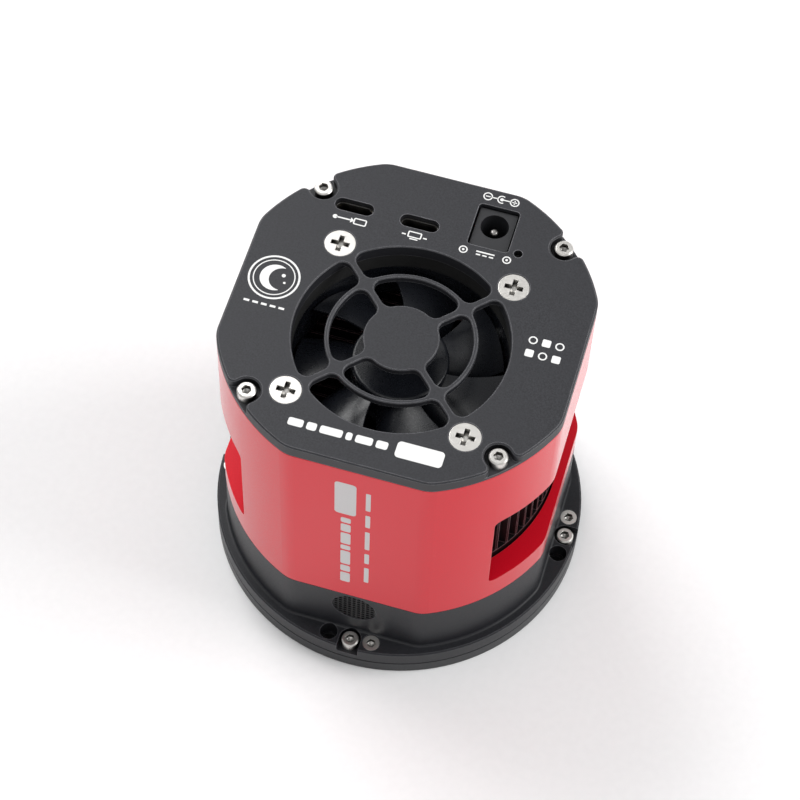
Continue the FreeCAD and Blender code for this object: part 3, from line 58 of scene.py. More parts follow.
# Nodes that look different from the others of their slot
VARIANTS = {
    "tilt_plate": "black_threaded",
    "window_retainer": "black_threaded",
    "front_body": "black_body",
    "dc_jack_body": "jack_plastic",
}

# Shader sampling, and the cosines between rounded and true normal on an edge and on an open face
BEVEL_SAMPLES = 4
OCCLUSION_SAMPLES = 8
EDGE_COSINE = 0.80
FACE_COSINE = 0.985

# Rounding of edges in the shading of coated metal, bare metal and plastic, in millimetres
COATED_EDGE = 0.12
BARE_EDGE = 0.10
MOULDED_EDGE = 0.10

# Screw thread on the wall of the tilt plate's optical opening, in millimetres
THREAD_INNER = 20.0
THREAD_OUTER = 20.8
THREAD_PITCH = 0.75
THREAD_DEPTH = 0.4

# Printed marks: thickness in metres
INK_HEIGHT = 0.02 * MM

# Places of the marks on the cover, as x and y in millimetres
EMBLEM = (-31.2, 1.4)
DEVICE_MARK = (-17.4, 21.15)
MAIN_MARK = (-4.75, 21.45)
POWER_MARK = (11.6, 21.0)
POLARITY_MARK = (11.35, 36.6)
SIDE_MARKS_X = 27.6
SIDE_MARKS_Y = (2.35, -1.1)
NAME_BARS_X = -17.2
NAME_BARS_Y = -32.65
NAME_BADGE = (11.95, -32.55)

# Places of the marks up the front flat, as x and z in millimetres
LEFT_COLUMN_X = -2.25
LEFT_COLUMN_Z = 31.6
RIGHT_COLUMN_X = 2.75
RIGHT_COLUMN_Z = 33.8
FRONT_BADGE = (-2.4, 70.25)

# Gold contacts on the data sockets' tongues, in millimetres
TONGUE_LENGTH = 6.7
CONTACT_COUNT = 12
CONTACT_PITCH = 0.5
CONTACT_WIDTH = 0.26
CONTACT_THICKNESS = 0.04
CONTACT_DEPTH = 5.0
CONTACT_SETBACK = 0.5

# Power socket's pin: share of its radius that the dome rounds, and how finely it is divided
DOME_SHARE = 0.8
DOME_STEPS = 8
PIN_SIDES = 48

# Studio: the world's light, the point that the softboxes face, the floor's half width and drop
WORLD_LIGHT = 0.50
LIGHT_AIM = (0, 0, 0.04)
FLOOR_REACH = 3.0
FLOOR_DROP = 0.05 * MM

# Camera matched to the photo: place in millimetres, axes, and focal length in pixels of its frame
CAMERA_PLACE = (72.278, -294.874, 550.142)
CAMERA_RIGHT = (0.95957, 0.28039, 0.02476)
CAMERA_FORWARD = (-0.12536, 0.50446, -0.85428)
FOCAL_PIXELS = 2538.26
FRAME_PIXELS = 800.0
SENSOR_WIDTH = 36.0


# ---------------------------------------------------------------- node helpers


class Nodes:
    """A material and short ways to add nodes to it."""

    def __init__(self, name):
        self.material = bpy.data.materials.new(name)
        self.material.use_nodes = True
        self.tree = self.material.node_tree
        self.shader = self.tree.nodes["Principled BSDF"]

    def add(self, kind, **settings):
        """New node; a setting is one of its properties or, if it has none of that name, an input."""
        made = self.tree.nodes.new(kind)
        for key, value in settings.items():
            if hasattr(made, key):
                setattr(made, key, value)
            else:
                made.inputs[key.replace("_", " ")].default_value = value
        return made

    def link(self, source, target):
        self.tree.links.new(source, target)

    def set(self, **values):
        """Constants on the shader's own sockets."""
        for key, value in values.items():
            self.shader.inputs[key.replace("_", " ")].default_value = value

    def paint(self, colour):
        self.link(colour, self.shader.inputs["Base Color"])

    def roughen(self, field, roughness, spread):
        """Roughness that varies with a field by a share either way."""
        varied = self.remap(field, roughness * (1 - spread), roughness * (1 + spread))
        self.link(varied, self.shader.inputs["Roughness"])

    def place(self):
        return self.add("ShaderNodeTexCoord").outputs["Object"]

    def noise(self, size, detail=3.0, vector=None):
        """Noise whose features are about size millimetres across."""
        made = self.add("ShaderNodeTexNoise", Scale=1.0 / (size * MM), Detail=detail)
        self.link(vector or self.place(), made.inputs["Vector"])
        return made.outputs["Fac"]

    def remap(self, value, low, high, start=0.3, end=0.7):
        """low where value is at start, high where it is at end, and in line between them."""
        made = self.add("ShaderNodeMapRange")
        made.inputs["From Min"].default_value = start
        made.inputs["From Max"].default_value = end
        made.inputs["To Min"].default_value = low
        made.inputs["To Max"].default_value = high
        self.link(value, made.inputs["Value"])
        return made.outputs["Result"]

    def blend(self, factor, first, second):
        """Mix of two colours, each a tuple or an output."""
        made = self.add("ShaderNodeMix", data_type="RGBA")
        # the node has sockets for every data type; these are the colour ones
        colour_a, colour_b, out = made.inputs[6], made.inputs[7], made.outputs[2]
        for socket, colour in ((colour_a, first), (colour_b, second)):
            if isinstance(colour, tuple):
                socket.default_value = (*colour, 1.0)
            else:
                self.link(colour, socket)
        self.link(factor, made.inputs[0])
        return out

    def math(self, operation, *values):
        """Result of an operation on numbers and outputs."""
        made = self.add("ShaderNodeMath", operation=operation)
        for socket, value in zip(made.inputs, values):
            if isinstance(value, (int, float)):
                socket.default_value = value
            else:
                self.link(value, socket)
        return made.outputs[0]

    def edges(self, radius):
        """1 on edges narrower than about radius millimetres, 0 on open faces."""
        rounded = self.add("ShaderNodeBevel", Radius=radius * MM, samples=BEVEL_SAMPLES)
        flat = self.add("ShaderNodeNewGeometry")
        dot = self.add("ShaderNodeVectorMath", operation="DOT_PRODUCT")
        self.link(rounded.outputs[0], dot.inputs[0])
        self.link(flat.outputs["Normal"], dot.inputs[1])
        return self.remap(dot.outputs["Value"], 1.0, 0.0, EDGE_COSINE, FACE_COSINE)

    def occlusion_shade_mask(self, reach, start, end):
        """Mask for painted shade: 0 where a share start of the space within reach millimetres is open,
        1 where only end is.
        """
        around = self.add("ShaderNodeAmbientOcclusion", Distance=reach * MM,
                          samples=OCCLUSION_SAMPLES)
        return self.remap(around.outputs["AO"], 0.0, 1.0, start, end)

    def relief(self, heights, soften=0.0):
        """Chain of bumps, each (height field, depth in millimetres), over edges softened in mm."""
        normal = None
        if soften:
            bevel = self.add("ShaderNodeBevel", Radius=soften * MM, samples=BEVEL_SAMPLES)
            normal = bevel.outputs[0]
        for field, depth in heights:
            bump = self.add("ShaderNodeBump", Strength=1.0, Distance=depth * MM)
            self.link(field, bump.inputs["Height"])
            if normal:
                self.link(normal, bump.inputs["Normal"])
            normal = bump.outputs[0]
        self.link(normal, self.shader.inputs["Normal"])

    def thread(self, low, high, pitch):
        """Height field of a screw thread round Z, on walls between two radii, all in millimetres."""
        split = self.add("ShaderNodeSeparateXYZ")
        self.link(self.place(), split.inputs[0])
        x, y = split.outputs["X"], split.outputs["Y"]
        squares = self.math("ADD", self.math("MULTIPLY", x, x), self.math("MULTIPLY", y, y))
        radius = self.math("SQRT", squares)
        inside = self.math("MULTIPLY", self.math("GREATER_THAN", radius, low * MM),
                           self.math("LESS_THAN", radius, high * MM))
        turn = self.math("MULTIPLY", self.math("ARCTAN2", y, x), pitch * MM / math.tau)
        along = self.math("ADD", split.outputs["Z"], turn)
        flank = pitch * MM / 2
        wave = self.math("MULTIPLY", self.math("PINGPONG", along, flank), 1.0 / flank)
        return self.math("MULTIPLY", wave, inside)


def shade(colour, factor):
    """Colour made darker or lighter."""
    return tuple(min(1.0, c * factor) for c in colour)


# ---------------------------------------------------------------- kinds of surface


def coated_metal(name, base, wear_and_highlight, roughness, metallic=0.0, grain=0.35, depth=0.006, specular=0.5,
                 edge=0.25, edge_share=0.5, tone=0.15, shade_reach=0.0, **extra):
    """Anodised metal: fine blasted grain, slow tone changes, edges lighter from abrasion and a painted
    highlight, and painted shade in cavities.

    grain, depth, edge and the reach of the painted shade are in millimetres; with a depth of 0 it has
    no relief yet.
    tone is how far the grain's tone varies, and edge_share is how much of an edge is lightened by
    abrasion and painted highlight.
    """
    m = Nodes(name)
    slow = m.noise(14.0, detail=2.0)
    fine = m.noise(grain, detail=2.0)
    patches = m.noise(3.0)
    colour = m.blend(m.remap(fine, 0.0, 1.0), shade(base, 1 - tone), shade(base, 1 + tone))
    colour = m.blend(m.remap(slow, 0.0, 0.5), colour, base)
    # Edges lightened in patches: partly abrasion, partly a painted highlight where light catches the
    # rounding
    wear_and_highlight_mask = m.math("MULTIPLY", m.edges(edge), m.remap(patches, edge_share / 2, edge_share))
    colour = m.blend(wear_and_highlight_mask, colour, wear_and_highlight)
    # Painted shade: the colour darkens in cavities found by ambient occlusion
    if shade_reach:
        colour = m.blend(m.occlusion_shade_mask(shade_reach, start=0.6, end=0.1), colour, shade(base, 0.2))
    m.paint(colour)
    m.roughen(fine, roughness, spread=0.12)
    m.set(Metallic=metallic, Specular_IOR_Level=specular, **extra)
    if depth:
        m.relief([(fine, depth)], soften=COATED_EDGE)
    return m


def threaded_metal(name, base, wear_and_highlight, roughness, **options):
    """Coated metal whose relief is the optical opening's screw thread."""
    m = coated_metal(name, base, wear_and_highlight, roughness, depth=0.0, **options)
    m.relief([(m.thread(THREAD_INNER, THREAD_OUTER, THREAD_PITCH), THREAD_DEPTH)])
    return m


def bare_metal(name, base, roughness, stretch=(1, 1, 1), scratch=0.5, relief=0.0015, painted_shade_reach=0.0):
    """Turned or plated metal with fine tool marks, and painted shade darkening the colour in cavities
    within the given reach in millimetres.
    """
    m = Nodes(name)
    mapping = m.add("ShaderNodeMapping", Scale=stretch)
    m.link(m.place(), mapping.inputs["Vector"])
    marks = m.noise(scratch, vector=mapping.outputs[0])
    slow = m.noise(4.0, detail=2.0)
    colour = m.blend(m.remap(slow, 0.0, 1.0), shade(base, 0.9), base)
    # Painted shade: the colour darkens in cavities found by ambient occlusion
    if painted_shade_reach:
        colour = m.blend(m.occlusion_shade_mask(painted_shade_reach, start=0.68, end=0.2), colour, shade(base, 0.04))
    m.paint(colour)
    m.roughen(marks, roughness, spread=0.06)
    m.set(Metallic=1.0)
    m.relief([(marks, relief)], soften=BARE_EDGE)
    return m


def moulded(name, base, roughness, grain=0.25, depth=0.004, specular=0.45):
    """Moulded plastic, rubber or ceramic with a fine texture."""
    m = Nodes(name)
    fine = m.noise(grain, detail=2.0)
    slow = m.noise(6.0, detail=2.0)
    m.paint(m.blend(m.remap(slow, 0.0, 1.0), shade(base, 0.88), shade(base, 1.12)))
    m.roughen(fine, roughness, spread=0.1)
    m.set(Specular_IOR_Level=specular)
    m.relief([(fine, depth)], soften=MOULDED_EDGE)
    return m


def printed(name, base, roughness=0.5):
    """Screen-printed ink with slight pinholes."""
    m = Nodes(name)
    fine = m.noise(0.12, detail=2.0)
    m.paint(m.blend(m.remap(fine, 0.0, 1.0), shade(base, 0.86), base))
    m.set(Roughness=roughness)
    m.relief([(fine, 0.003)])
    return m


def circuit_board(name):
    """Green solder mask over a pattern of traces, with a fibre weave under it."""
    m = Nodes(name)
    traces = m.add("ShaderNodeTexBrick", Scale=1.0 / (1.4 * MM), Mortar_Size=0.06)
    traces.inputs["Color1"].default_value = (0.010, 0.085, 0.035, 1)
    traces.inputs["Color2"].default_value = (0.012, 0.105, 0.045, 1)
    traces.inputs["Mortar"].default_value = (0.03, 0.17, 0.08, 1)
    m.link(m.place(), traces.inputs["Vector"])
    m.paint(traces.outputs["Color"])
    m.set(Roughness=0.32, Coat_Weight=0.4, Coat_Roughness=0.15)
    m.relief([(traces.outputs["Fac"], 0.02), (m.noise(0.3), 0.003)], soften=0.05)
    return m


def coated_glass(name):
    """Clear glass with a green sheen at a slant and faint smudges."""
    m = Nodes(name)
    layer = m.add("ShaderNodeLayerWeight", Blend=0.35)
    m.paint(m.blend(layer.outputs["Facing"], (0.96, 1.0, 0.98), (0.55, 0.85, 0.75)))
    m.set(Transmission_Weight=1.0, IOR=1.5)
    smudges = m.noise(8.0, detail=4.0)
    m.link(m.remap(smudges, 0.0, 0.05), m.shader.inputs["Roughness"])
    return m


def sensor_surface(name):
    """Polished sensor: a dark mosaic with a blue-green interference colour."""
    m = Nodes(name)
    mosaic = m.add("ShaderNodeTexChecker", Scale=1.0 / (0.1 * MM))
    m.link(m.place(), mosaic.inputs["Vector"])
    layer = m.add("ShaderNodeLayerWeight", Blend=0.5)
    sheen = m.blend(layer.outputs["Facing"], (0.05, 0.13, 0.16), (0.18, 0.06, 0.20))
    m.paint(m.blend(mosaic.outputs["Fac"], sheen, (0.04, 0.12, 0.10)))
    m.set(Metallic=0.8, Roughness=0.12)
    return m


def light_pipe_surface(name):
    """Smoky acrylic rod, unlit."""
    m = Nodes(name)
    m.paint(m.blend(m.remap(m.noise(1.0), 0.0, 1.0), (0.05, 0.05, 0.05), (0.08, 0.08, 0.08)))
    m.set(Transmission_Weight=0.6, Roughness=0.15, IOR=1.49)
    return m


def paper_surface(name):
    """Pale, nearly plain paper under the camera."""
    m = Nodes(name)
    fine = m.noise(2.0, detail=4.0)
    m.paint(m.blend(m.remap(fine, 0.0, 1.0), (0.86, 0.86, 0.865), (0.88, 0.88, 0.885)))
    m.set(Roughness=0.8, Specular_IOR_Level=0.2)
    return m


# ---------------------------------------------------------------- materials


def make_coatings():
    """Anodised finishes by slot, with the variants of the black one."""
    return {
        # Cover: edges lighter partly from abrasion, partly a painted highlight; colour darkened in the
        # fan cells' cavities is painted shade
        "black_anodised": coated_metal(
            "black_anodised", base=(0.0235, 0.024, 0.028), wear_and_highlight=(0.32, 0.32, 0.34), roughness=0.48,
            tone=0.34, specular=0.34, edge=0.35, edge_share=0.9, shade_reach=6.0),
        # Front body: edges lighter partly from abrasion, partly a painted highlight on the flange;
        # colour darkened in holes is painted shade
        "black_body": coated_metal(
            "black_anodised_gloss", base=(0.015, 0.0155, 0.0185), wear_and_highlight=(0.24, 0.24, 0.26),
            roughness=0.42, tone=0.34, specular=0.28, edge=0.3, edge_share=0.6, shade_reach=1.5),
        # Threaded parts: edges lighter partly from abrasion, partly a painted highlight
        "black_threaded": threaded_metal(
            "black_anodised_threaded", base=(0.013, 0.0135, 0.016), wear_and_highlight=(0.17, 0.17, 0.18),
            roughness=0.38, tone=0.2, specular=0.32, edge_share=0.25),
        # Housing: pink-red lighter edges are a painted highlight along the window lips, partly
        # abrasion
        "red_anodised": coated_metal(
            "red_anodised", base=(0.64, 0.003, 0.016), wear_and_highlight=(0.90, 0.20, 0.22), roughness=0.36,
            metallic=0.2, tone=0.06, grain=0.3, depth=0.004, specular=0.2, edge_share=0.6,
            Coat_Weight=1.0, Coat_IOR=1.16, Coat_Roughness=0.2, Sheen_Weight=0.06,
            Sheen_Roughness=0.3),
        # Fins: base darker than the other black anodise, painting the shade deep in the window;
        # pinkish lighter edges are a painted highlight on the fin ends, partly abrasion
        "black_fins": coated_metal(
            "black_fins", base=(0.004, 0.0035, 0.004), wear_and_highlight=(0.42, 0.24, 0.26), roughness=0.5,
            specular=0.1, edge=0.2, edge_share=0.9),
    }


def make_metals():
    """Bare and plated metals by slot."""
    return {
        # Screw heads: colour darkened in cross and hex sockets is painted shade
        "stainless": bare_metal("stainless", base=(0.80, 0.78, 0.745), roughness=0.32, scratch=1.0,
                                relief=0.001, painted_shade_reach=2.0),
        # Socket shells and power pin: base darker than bright nickel and darkened further in cavities,
        # painted shade inside the sockets
        "shell": bare_metal("nickel_plate", base=(0.30, 0.29, 0.28), roughness=0.36, painted_shade_reach=3.0),
        "brass": bare_metal("brass", base=(0.80, 0.58, 0.27), roughness=0.28),
        "copper": bare_metal("copper", base=(0.85, 0.44, 0.27), roughness=0.3),
        "winding": bare_metal("enamelled_wire", base=(0.62, 0.24, 0.09), roughness=0.35,
                              stretch=(1, 1, 8)),
        "iron": bare_metal("stacked_iron", base=(0.32, 0.32, 0.33), roughness=0.4,
                           stretch=(0.1, 0.1, 6)),
        "bearing_steel": bare_metal("bearing_steel", base=(0.66, 0.66, 0.66), roughness=0.15),
        "semiconductor": bare_metal("bismuth_telluride", base=(0.34, 0.34, 0.36), roughness=0.45),
    }


def make_plastics():
    """Plastics, rubbers, ceramics and powders by slot."""
    return {
        "fan_plastic": moulded("fan_plastic", base=(0.007, 0.008, 0.011), roughness=0.28, grain=1.2,
                               depth=0.001, specular=0.4),
        "rubber": moulded("rubber", base=(0.02, 0.02, 0.02), roughness=0.65),
        "chip": moulded("chip", base=(0.02, 0.02, 0.022), roughness=0.5),
        "connector": moulded("connector", base=(0.007, 0.007, 0.008), roughness=0.42, specular=0.3),
        "jack_plastic": moulded("jack_plastic", base=(0.018, 0.0185, 0.021), roughness=0.45,
                                specular=0.4),
        "magnet": moulded("magnet", base=(0.05, 0.05, 0.05), roughness=0.5),
        "ceramic": moulded("alumina", base=(0.80, 0.79, 0.75), roughness=0.5),
        "package": moulded("package_ceramic", base=(0.07, 0.06, 0.06), roughness=0.4),
        "pad": moulded("thermal_pad", base=(0.32, 0.36, 0.44), roughness=0.7),
        "foam": moulded("foam", base=(0.05, 0.05, 0.05), roughness=0.9, grain=0.8, depth=0.1),
        "desiccant": moulded("desiccant", base=(0.75, 0.74, 0.70), roughness=0.8, grain=0.5,
                             depth=0.05),
        "membrane": moulded("membrane", base=(0.012, 0.012, 0.014), roughness=0.8),
        "heater": moulded("heater_film", base=(0.45, 0.17, 0.03), roughness=0.3),
        "mesh": moulded("mesh", base=(0.005, 0.005, 0.006), roughness=0.45, specular=0.25),
    }


def make_materials():
    """One material per slot of the record, some with a variant of their own."""
    return {
        **make_coatings(),
        **make_metals(),
        **make_plastics(),
        "board": circuit_board("circuit_board"),
        "optic": coated_glass("coated_glass"),
        "silicon": sensor_surface("sensor_surface"),
        "light": light_pipe_surface("light_pipe_plastic"),
    }


def dress_nodes(surfaces):
    """Give every carried-over node its slot's material, or its own variant."""
    slots = {row["node"]: row["material_slot"] for row in frame["record"]["subparts"]}
    for name, thing in frame["nodes"].items():
        chosen = surfaces[VARIANTS.get(name, slots[name])].material
        thing.data.materials.clear()
        thing.data.materials.append(chosen)


# ---------------------------------------------------------------- pieces


def make_piece(name, mesh, surface):
    """Object from a bmesh, which it uses up, riding on the camera's body."""
    data = bpy.data.meshes.new(name)
    bmesh.ops.recalc_face_normals(mesh, faces=mesh.faces)
    mesh.to_mesh(data)
    mesh.free()
    thing = bpy.data.objects.new(name, data)
    bpy.context.scene.collection.objects.link(thing)
    data.materials.append(surface.material)
    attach(thing, BODY)
    return thing


def add_band(mesh, near, far):
    """Ring of four-sided faces between two loops of as many vertices."""
    count = len(near)
    for k in range(count):
        n = (k + 1) % count
        mesh.faces.new((near[k], near[n], far[n], far[k]))


def add_block(mesh, low, high):
    """Block between two corners, in metres."""
    size = Vector(high) - Vector(low)
    middle = (Vector(high) + Vector(low)) / 2
    place = Matrix.Translation(middle) @ Matrix.Diagonal((*size, 1.0))
    bmesh.ops.create_cube(mesh, size=1.0, matrix=place)


# ---------------------------------------------------------------- printed marks


class Ink:
    """Flat marks with a hair's thickness on one plane; u and v are millimetres on that plane."""

    def __init__(self, name, origin, u_axis, v_axis):
        self.name = name
        self.origin = Vector(origin)
        self.u_axis = Vector(u_axis)
        self.v_axis = Vector(v_axis)
        self.out = self.u_axis.cross(self.v_axis)
        self.mesh = bmesh.new()

    def line(self, points, height):
        """New vertices over (u, v) points, at a height in metres."""
        lift = self.origin + self.out * height
        return [self.mesh.verts.new(lift + (self.u_axis * u + self.v_axis * v) * MM)
                for u, v in points]

    def slab(self, outline):
        """Solid slab over a convex outline given anticlockwise."""
        low = self.line(outline, 0.0)
        high = self.line(outline, INK_HEIGHT)
        self.mesh.faces.new(high)
        self.mesh.faces.new(low[::-1])
        add_band(self.mesh, low, high)

    def strip(self, inner, outer, closed):
        """Solid band between two lines of as many points."""
        low_in, low_out = self.line(inner, 0.0), self.line(outer, 0.0)
        high_in, high_out = self.line(inner, INK_HEIGHT), self.line(outer, INK_HEIGHT)
        count = len(inner)
        for k in range(count if closed else count - 1):
            n = (k + 1) % count
            self.mesh.faces.new((high_in[k], high_out[k], high_out[n], high_in[n]))
            self.mesh.faces.new((low_in[k], low_in[n], low_out[n], low_out[k]))
            self.mesh.faces.new((low_out[k], low_out[n], high_out[n], high_out[k]))
            self.mesh.faces.new((low_in[n], low_in[k], high_in[k], high_in[n]))
        if not closed:
            for k, flip in ((0, False), (count - 1, True)):
                face = (low_in[k], low_out[k], high_out[k], high_in[k])
                self.mesh.faces.new(face[::-1] if flip else face)

    def bar(self, u, v, length, width):
        """Bar centred on (u, v)."""
        half_u, half_v = length / 2, width / 2
        self.slab([(u - half_u, v - half_v), (u + half_u, v - half_v),
                   (u + half_u, v + half_v), (u - half_u, v + half_v)])

    def disc(self, u, v, radius, count=40):
        self.slab([(u + radius * math.cos(math.tau * k / count),
                    v + radius * math.sin(math.tau * k / count)) for k in range(count)])

    def ring(self, u, v, radius, width, start=0.0, sweep=360.0, count=48):
        """Ring, or an arc of one from start through sweep degrees, drawn width across."""
        closed = sweep >= 360.0
        steps = count if closed else count + 1
        angles = [math.radians(start + sweep * k / count) for k in range(steps)]
        inner, outer = [[(u + r * math.cos(a), v + r * math.sin(a)) for a in angles]
                        for r in (radius - width / 2, radius + width / 2)]
        self.strip(inner, outer, closed)

    def lune(self, u, v, radius, inner, shift, count=40):
        """Crescent: a disc with a smaller disc, moved aside by shift, left out."""
        span = math.acos((shift ** 2 + radius ** 2 - inner ** 2) / (2 * shift * radius))
        reach = math.atan2(radius * math.sin(span), radius * math.cos(span) - shift)
        blunt = 0.02  # share of the curves left off at each tip, so that the tips stay solid
        outer_line, inner_line = [], []
        for k in range(count + 1):
            share = blunt + (1 - 2 * blunt) * k / count
            a = span + (math.tau - 2 * span) * share
            b = reach + (math.tau - 2 * reach) * share
            outer_line.append((u + radius * math.cos(a), v + radius * math.sin(a)))
            inner_line.append((u + shift + inner * math.cos(b), v + inner * math.sin(b)))
        self.strip(inner_line, outer_line, closed=False)

    def rounded(self, u, v, length, height, radius, steps=8):
        """Outline of a rounded rectangle centred on (u, v)."""
        outline = []
        for side_u, side_v, start in ((1, 1, 0), (-1, 1, 90), (-1, -1, 180), (1, -1, 270)):
            corner_u = u + side_u * (length / 2 - radius)
            corner_v = v + side_v * (height / 2 - radius)
            for k in range(steps + 1):
                a = math.radians(start + 90 * k / steps)
                outline.append((corner_u + radius * math.cos(a), corner_v + radius * math.sin(a)))
        return outline

    def plate(self, u, v, length, height, radius):
        """Filled rounded rectangle."""
        self.slab(self.rounded(u, v, length, height, radius))

    def outlined(self, u, v, length, height, radius, width):
        """Open rounded rectangle, drawn width across."""
        outer = self.rounded(u, v, length, height, radius)
        inner = self.rounded(u, v, length - 2 * width, height - 2 * width, max(radius - width, 0.05))
        self.strip(inner, outer, closed=True)

    def finish(self, surface):
        make_piece(self.name, self.mesh, surface)


def in_a_row(start, lengths, gap):
    """Middle and length of each bar in a row, gap apart."""
    for length in lengths:
        yield start + length / 2, length
        start += length + gap


def cover_ink(name):
    cover_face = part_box("rear_cover")[1].z
    return Ink(name, origin=(0, 0, cover_face), u_axis=(1, 0, 0), v_axis=(0, 1, 0))


def print_emblem(ink):
    """Two rings round a moon and two dots, over a row of bars."""
    u, v = EMBLEM
    mark = cover_ink("mark_moon")
    mark.ring(u, v, radius=5.6, width=0.45)
    mark.ring(u, v, radius=4.6, width=0.25)
    mark.lune(u + 0.2, v, radius=3.4, inner=2.9, shift=1.6)
    mark.disc(u + 1.9, v + 1.0, radius=0.45, count=20)
    mark.disc(u + 2.6, v - 0.8, radius=0.3, count=20)
    for k in range(5):
        mark.bar(u - 4.0 + 2.0 * k, v - 7.4, length=1.3, width=0.55)
    mark.finish(ink)


def print_device_socket(ink):
    """Arrow from a dot to a small box."""
    u, v = DEVICE_MARK
    mark = cover_ink("mark_device_socket")
    mark.outlined(u, v, length=3.0, height=1.8, radius=0.4, width=0.3)
    mark.bar(u - 3.8, v, length=3.4, width=0.35)
    mark.slab([(u - 2.2, v - 0.7), (u - 1.3, v), (u - 2.2, v + 0.7)])
    mark.disc(u - 5.8, v, radius=0.55, count=24)
    mark.finish(ink)


def print_main_socket(ink):
    """Small screen on a foot, with a dash on each side."""
    u, v = MAIN_MARK
    mark = cover_ink("mark_main_socket")
    mark.outlined(u, v, length=3.2, height=1.7, radius=0.3, width=0.3)
    mark.bar(u, v - 1.2, length=1.9, width=0.3)
    for side in (-1, 1):
        mark.bar(u + 2.45 * side, v - 0.3, length=0.9, width=0.35)
    mark.finish(ink)


def print_power_socket(ink):
    """Direct current's line over three dashes, between two ringed dots."""
    u, v = POWER_MARK
    mark = cover_ink("mark_power_socket")
    mark.bar(u, v + 0.4, length=4.2, width=0.35)
    for k in (-1, 0, 1):
        mark.bar(u + 1.5 * k, v - 0.4, length=1.0, width=0.35)
    for side in (-1, 1):
        mark.ring(u + 5.0 * side, v, radius=0.85, width=0.3)
        mark.disc(u + 5.0 * side, v, radius=0.3, count=20)
    mark.finish(ink)


def print_polarity(ink):
    """Usual sign of a plug with a positive centre: ringed minus, dot in a cup, ringed plus."""
    u, v = POLARITY_MARK
    minus, plus = u - 3.25, u + 2.95
    mark = cover_ink("mark_polarity")
    for middle in (minus, plus):
        mark.ring(middle, v, radius=0.95, width=0.28)
        mark.bar(middle, v, length=1.1, width=0.26)
    mark.bar(plus, v, length=0.26, width=1.1)
    mark.disc(u, v, radius=0.42, count=24)
    mark.ring(u, v, radius=0.95, width=0.28, start=60, sweep=240, count=30)
    mark.bar(u - 1.6, v, length=1.3, width=0.28)
    mark.bar(u + 1.2, v, length=1.6, width=0.28)
    mark.finish(ink)


def print_side_marks(ink):
    """Two rows of small squares and rings by turns."""
    mark = cover_ink("mark_side")
    for row, v in enumerate(SIDE_MARKS_Y):
        for column in range(3):
            u = SIDE_MARKS_X + 3.0 * column
            if (row + column) % 2:
                mark.plate(u, v, length=1.9, height=1.9, radius=0.35)
            else:
                mark.ring(u, v, radius=0.85, width=0.32)
    mark.finish(ink)


def print_name_bars(ink):
    """Row of bars and a blank badge."""
    mark = cover_ink("mark_name_bars")
    for middle, length in in_a_row(NAME_BARS_X, (3.4, 2.2, 5.0, 1.4, 3.8, 2.6), gap=0.75):
        mark.plate(middle, NAME_BARS_Y, length, height=1.9, radius=0.5)
    mark.plate(*NAME_BADGE, length=10.4, height=4.0, radius=0.9)
    mark.finish(ink)


def print_front_marks(ink):
    """Two columns of bars and a blank badge up the front flat."""
    front_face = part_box("housing")[0].y
    mark = Ink("mark_front", origin=(0, front_face, 0), u_axis=(1, 0, 0), v_axis=(0, 0, 1))
    for middle, length in in_a_row(LEFT_COLUMN_Z, (4.4, 2.8, 6.2, 2.0, 5.0, 3.4, 2.2), gap=0.7):
        mark.plate(LEFT_COLUMN_X, middle, length=2.3, height=length, radius=0.5)
    mark.plate(*FRONT_BADGE, length=4.9, height=13.6, radius=0.9)
    for middle, length in in_a_row(RIGHT_COLUMN_Z, (7.0, 4.6, 8.2, 5.4, 7.6), gap=2.1):
        mark.plate(RIGHT_COLUMN_X, middle, length=1.1, height=length, radius=0.3)
    mark.finish(ink)


def print_marks():
    """Plain marks in place of all lettering: white on the cover, silver on the front flat."""
    white = printed("white_ink", base=(0.80, 0.80, 0.79))
    silver = printed("silver_ink", base=(0.62, 0.60, 0.60), roughness=0.35)
    for print_mark in (print_emblem, print_device_socket, print_main_socket, print_power_socket,
                       print_polarity, print_side_marks, print_name_bars):
        print_mark(white)
    print_front_marks(silver)


# ---------------------------------------------------------------- small details


def make_power_pin(metal):
    """The power socket's centre pin with a domed tip, in place of the CAD's plain rod."""
    low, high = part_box("dc_jack_pin")
    axis = (low + high) / 2
    radius = (high.x - low.x) / 2
    dome = DOME_SHARE * radius
    profile = [(radius, low.z)]
    for k in range(DOME_STEPS + 1):
        a = math.pi / 2 * k / DOME_STEPS
        profile.append((radius - dome + dome * math.cos(a), high.z - dome + dome * math.sin(a)))
    mesh = bmesh.new()
    turns = [math.tau * k / PIN_SIDES for k in range(PIN_SIDES)]
    rings = [[mesh.verts.new((axis.x + r * math.cos(t), axis.y + r * math.sin(t), z)) for t in turns]
             for r, z in profile]
    for below, above in zip(rings, rings[1:]):
        add_band(mesh, below, above)
    mesh.faces.new(rings[0][::-1])
    mesh.faces.new(rings[-1])
    pin = make_piece("power_pin", mesh, metal)
    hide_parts("dc_jack_pin")


def make_socket_contacts(gold):
    """Gold contacts on both faces of each data socket's tongue."""
    low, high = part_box("usb_tongues")
    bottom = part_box("usb_shells")[1].z - CONTACT_DEPTH * MM
    top = high.z - CONTACT_SETBACK * MM
    half_width = CONTACT_WIDTH / 2 * MM
    half_tongue = TONGUE_LENGTH / 2 * MM
    mesh = bmesh.new()
    for centre in (low.x + half_tongue, high.x - half_tongue):
        for face, side in ((low.y, -1), (high.y, 1)):
            near, far = sorted((face, face + side * CONTACT_THICKNESS * MM))
            for k in range(CONTACT_COUNT):
                x = centre + (k - (CONTACT_COUNT - 1) / 2) * CONTACT_PITCH * MM
                add_block(mesh, (x - half_width, near, bottom), (x + half_width, far, top))
    make_piece("usb_contacts", mesh, gold)


# ---------------------------------------------------------------- studio


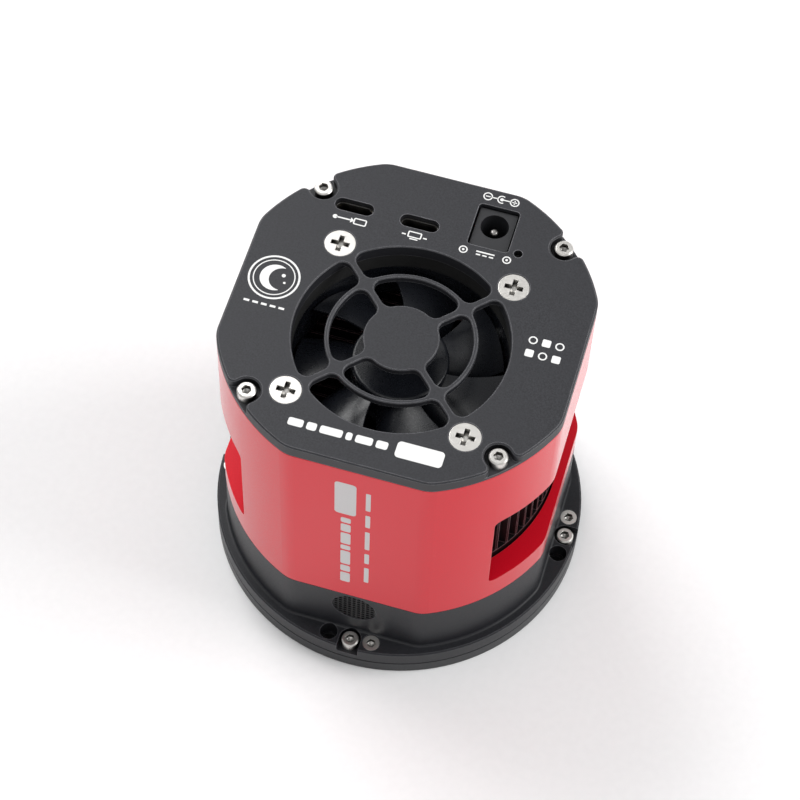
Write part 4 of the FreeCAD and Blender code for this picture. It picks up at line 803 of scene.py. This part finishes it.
def make_floor():
    data = bpy.data.meshes.new("floor")
    corners = [(x * FLOOR_REACH, y * FLOOR_REACH, -FLOOR_DROP)
               for x, y in ((-1, -1), (1, -1), (1, 1), (-1, 1))]
    data.from_pydata(corners, [], [(0, 1, 2, 3)])
    data.materials.append(paper_surface("paper").material)
    floor = bpy.data.objects.new("floor", data)
    bpy.context.scene.collection.objects.link(floor)


def make_softbox(name, place, width, height, power):
    """Rectangular light at a place in metres, aimed at the middle of the camera."""
    light = bpy.data.lights.new(name, "AREA")
    light.shape = "RECTANGLE"
    light.size = width
    light.size_y = height
    light.energy = power
    thing = bpy.data.objects.new(name, light)
    bpy.context.scene.collection.objects.link(thing)
    thing.location = place
    aim = Vector(LIGHT_AIM) - Vector(place)
    thing.rotation_euler = aim.to_track_quat("-Z", "Y").to_euler()


def make_studio():
    """Pale floor under even light, with a softbox on each side and a weak one in front."""
    scene = bpy.context.scene
    scene.view_settings.view_transform = "Standard"
    scene.view_settings.look = "None"
    scene.world = bpy.data.worlds.new("studio")
    scene.world.use_nodes = True
    background = scene.world.node_tree.nodes["Background"]
    background.inputs["Color"].default_value = (1.0, 1.0, 1.0, 1.0)
    background.inputs["Strength"].default_value = WORLD_LIGHT
    make_floor()
    make_softbox("back_left", place=(-0.75, 0.55, 0.95), width=0.8, height=0.8, power=11.5)
    make_softbox("front", place=(-0.1, -0.7, 1.2), width=0.9, height=0.6, power=2.5)
    make_softbox("right", place=(1.1, 0.2, 0.9), width=0.8, height=0.8, power=12.5)


def make_camera():
    """Camera at the photo's viewpoint."""
    right = Vector(CAMERA_RIGHT).normalized()
    forward = Vector(CAMERA_FORWARD).normalized()
    up = right.cross(forward)
    right = forward.cross(up)
    turn = Matrix((right, up, -forward)).transposed().to_4x4()
    data = bpy.data.cameras.new("camera")
    data.sensor_width = SENSOR_WIDTH
    data.lens = SENSOR_WIDTH * FOCAL_PIXELS / FRAME_PIXELS
    data.clip_start = 0.01
    data.clip_end = 20.0
    thing = bpy.data.objects.new("camera", data)
    bpy.context.scene.collection.objects.link(thing)
    thing.matrix_world = Matrix.Translation(Vector(CAMERA_PLACE) * MM) @ turn
    bpy.context.scene.camera = thing


SURFACES = make_materials()
dress_nodes(SURFACES)
print_marks()
# The pin takes the shell material's painted shade down in its socket
make_power_pin(SURFACES["shell"])
make_socket_contacts(bare_metal("gold_plate", base=(0.95, 0.68, 0.30), roughness=0.25))
make_studio()
make_camera()
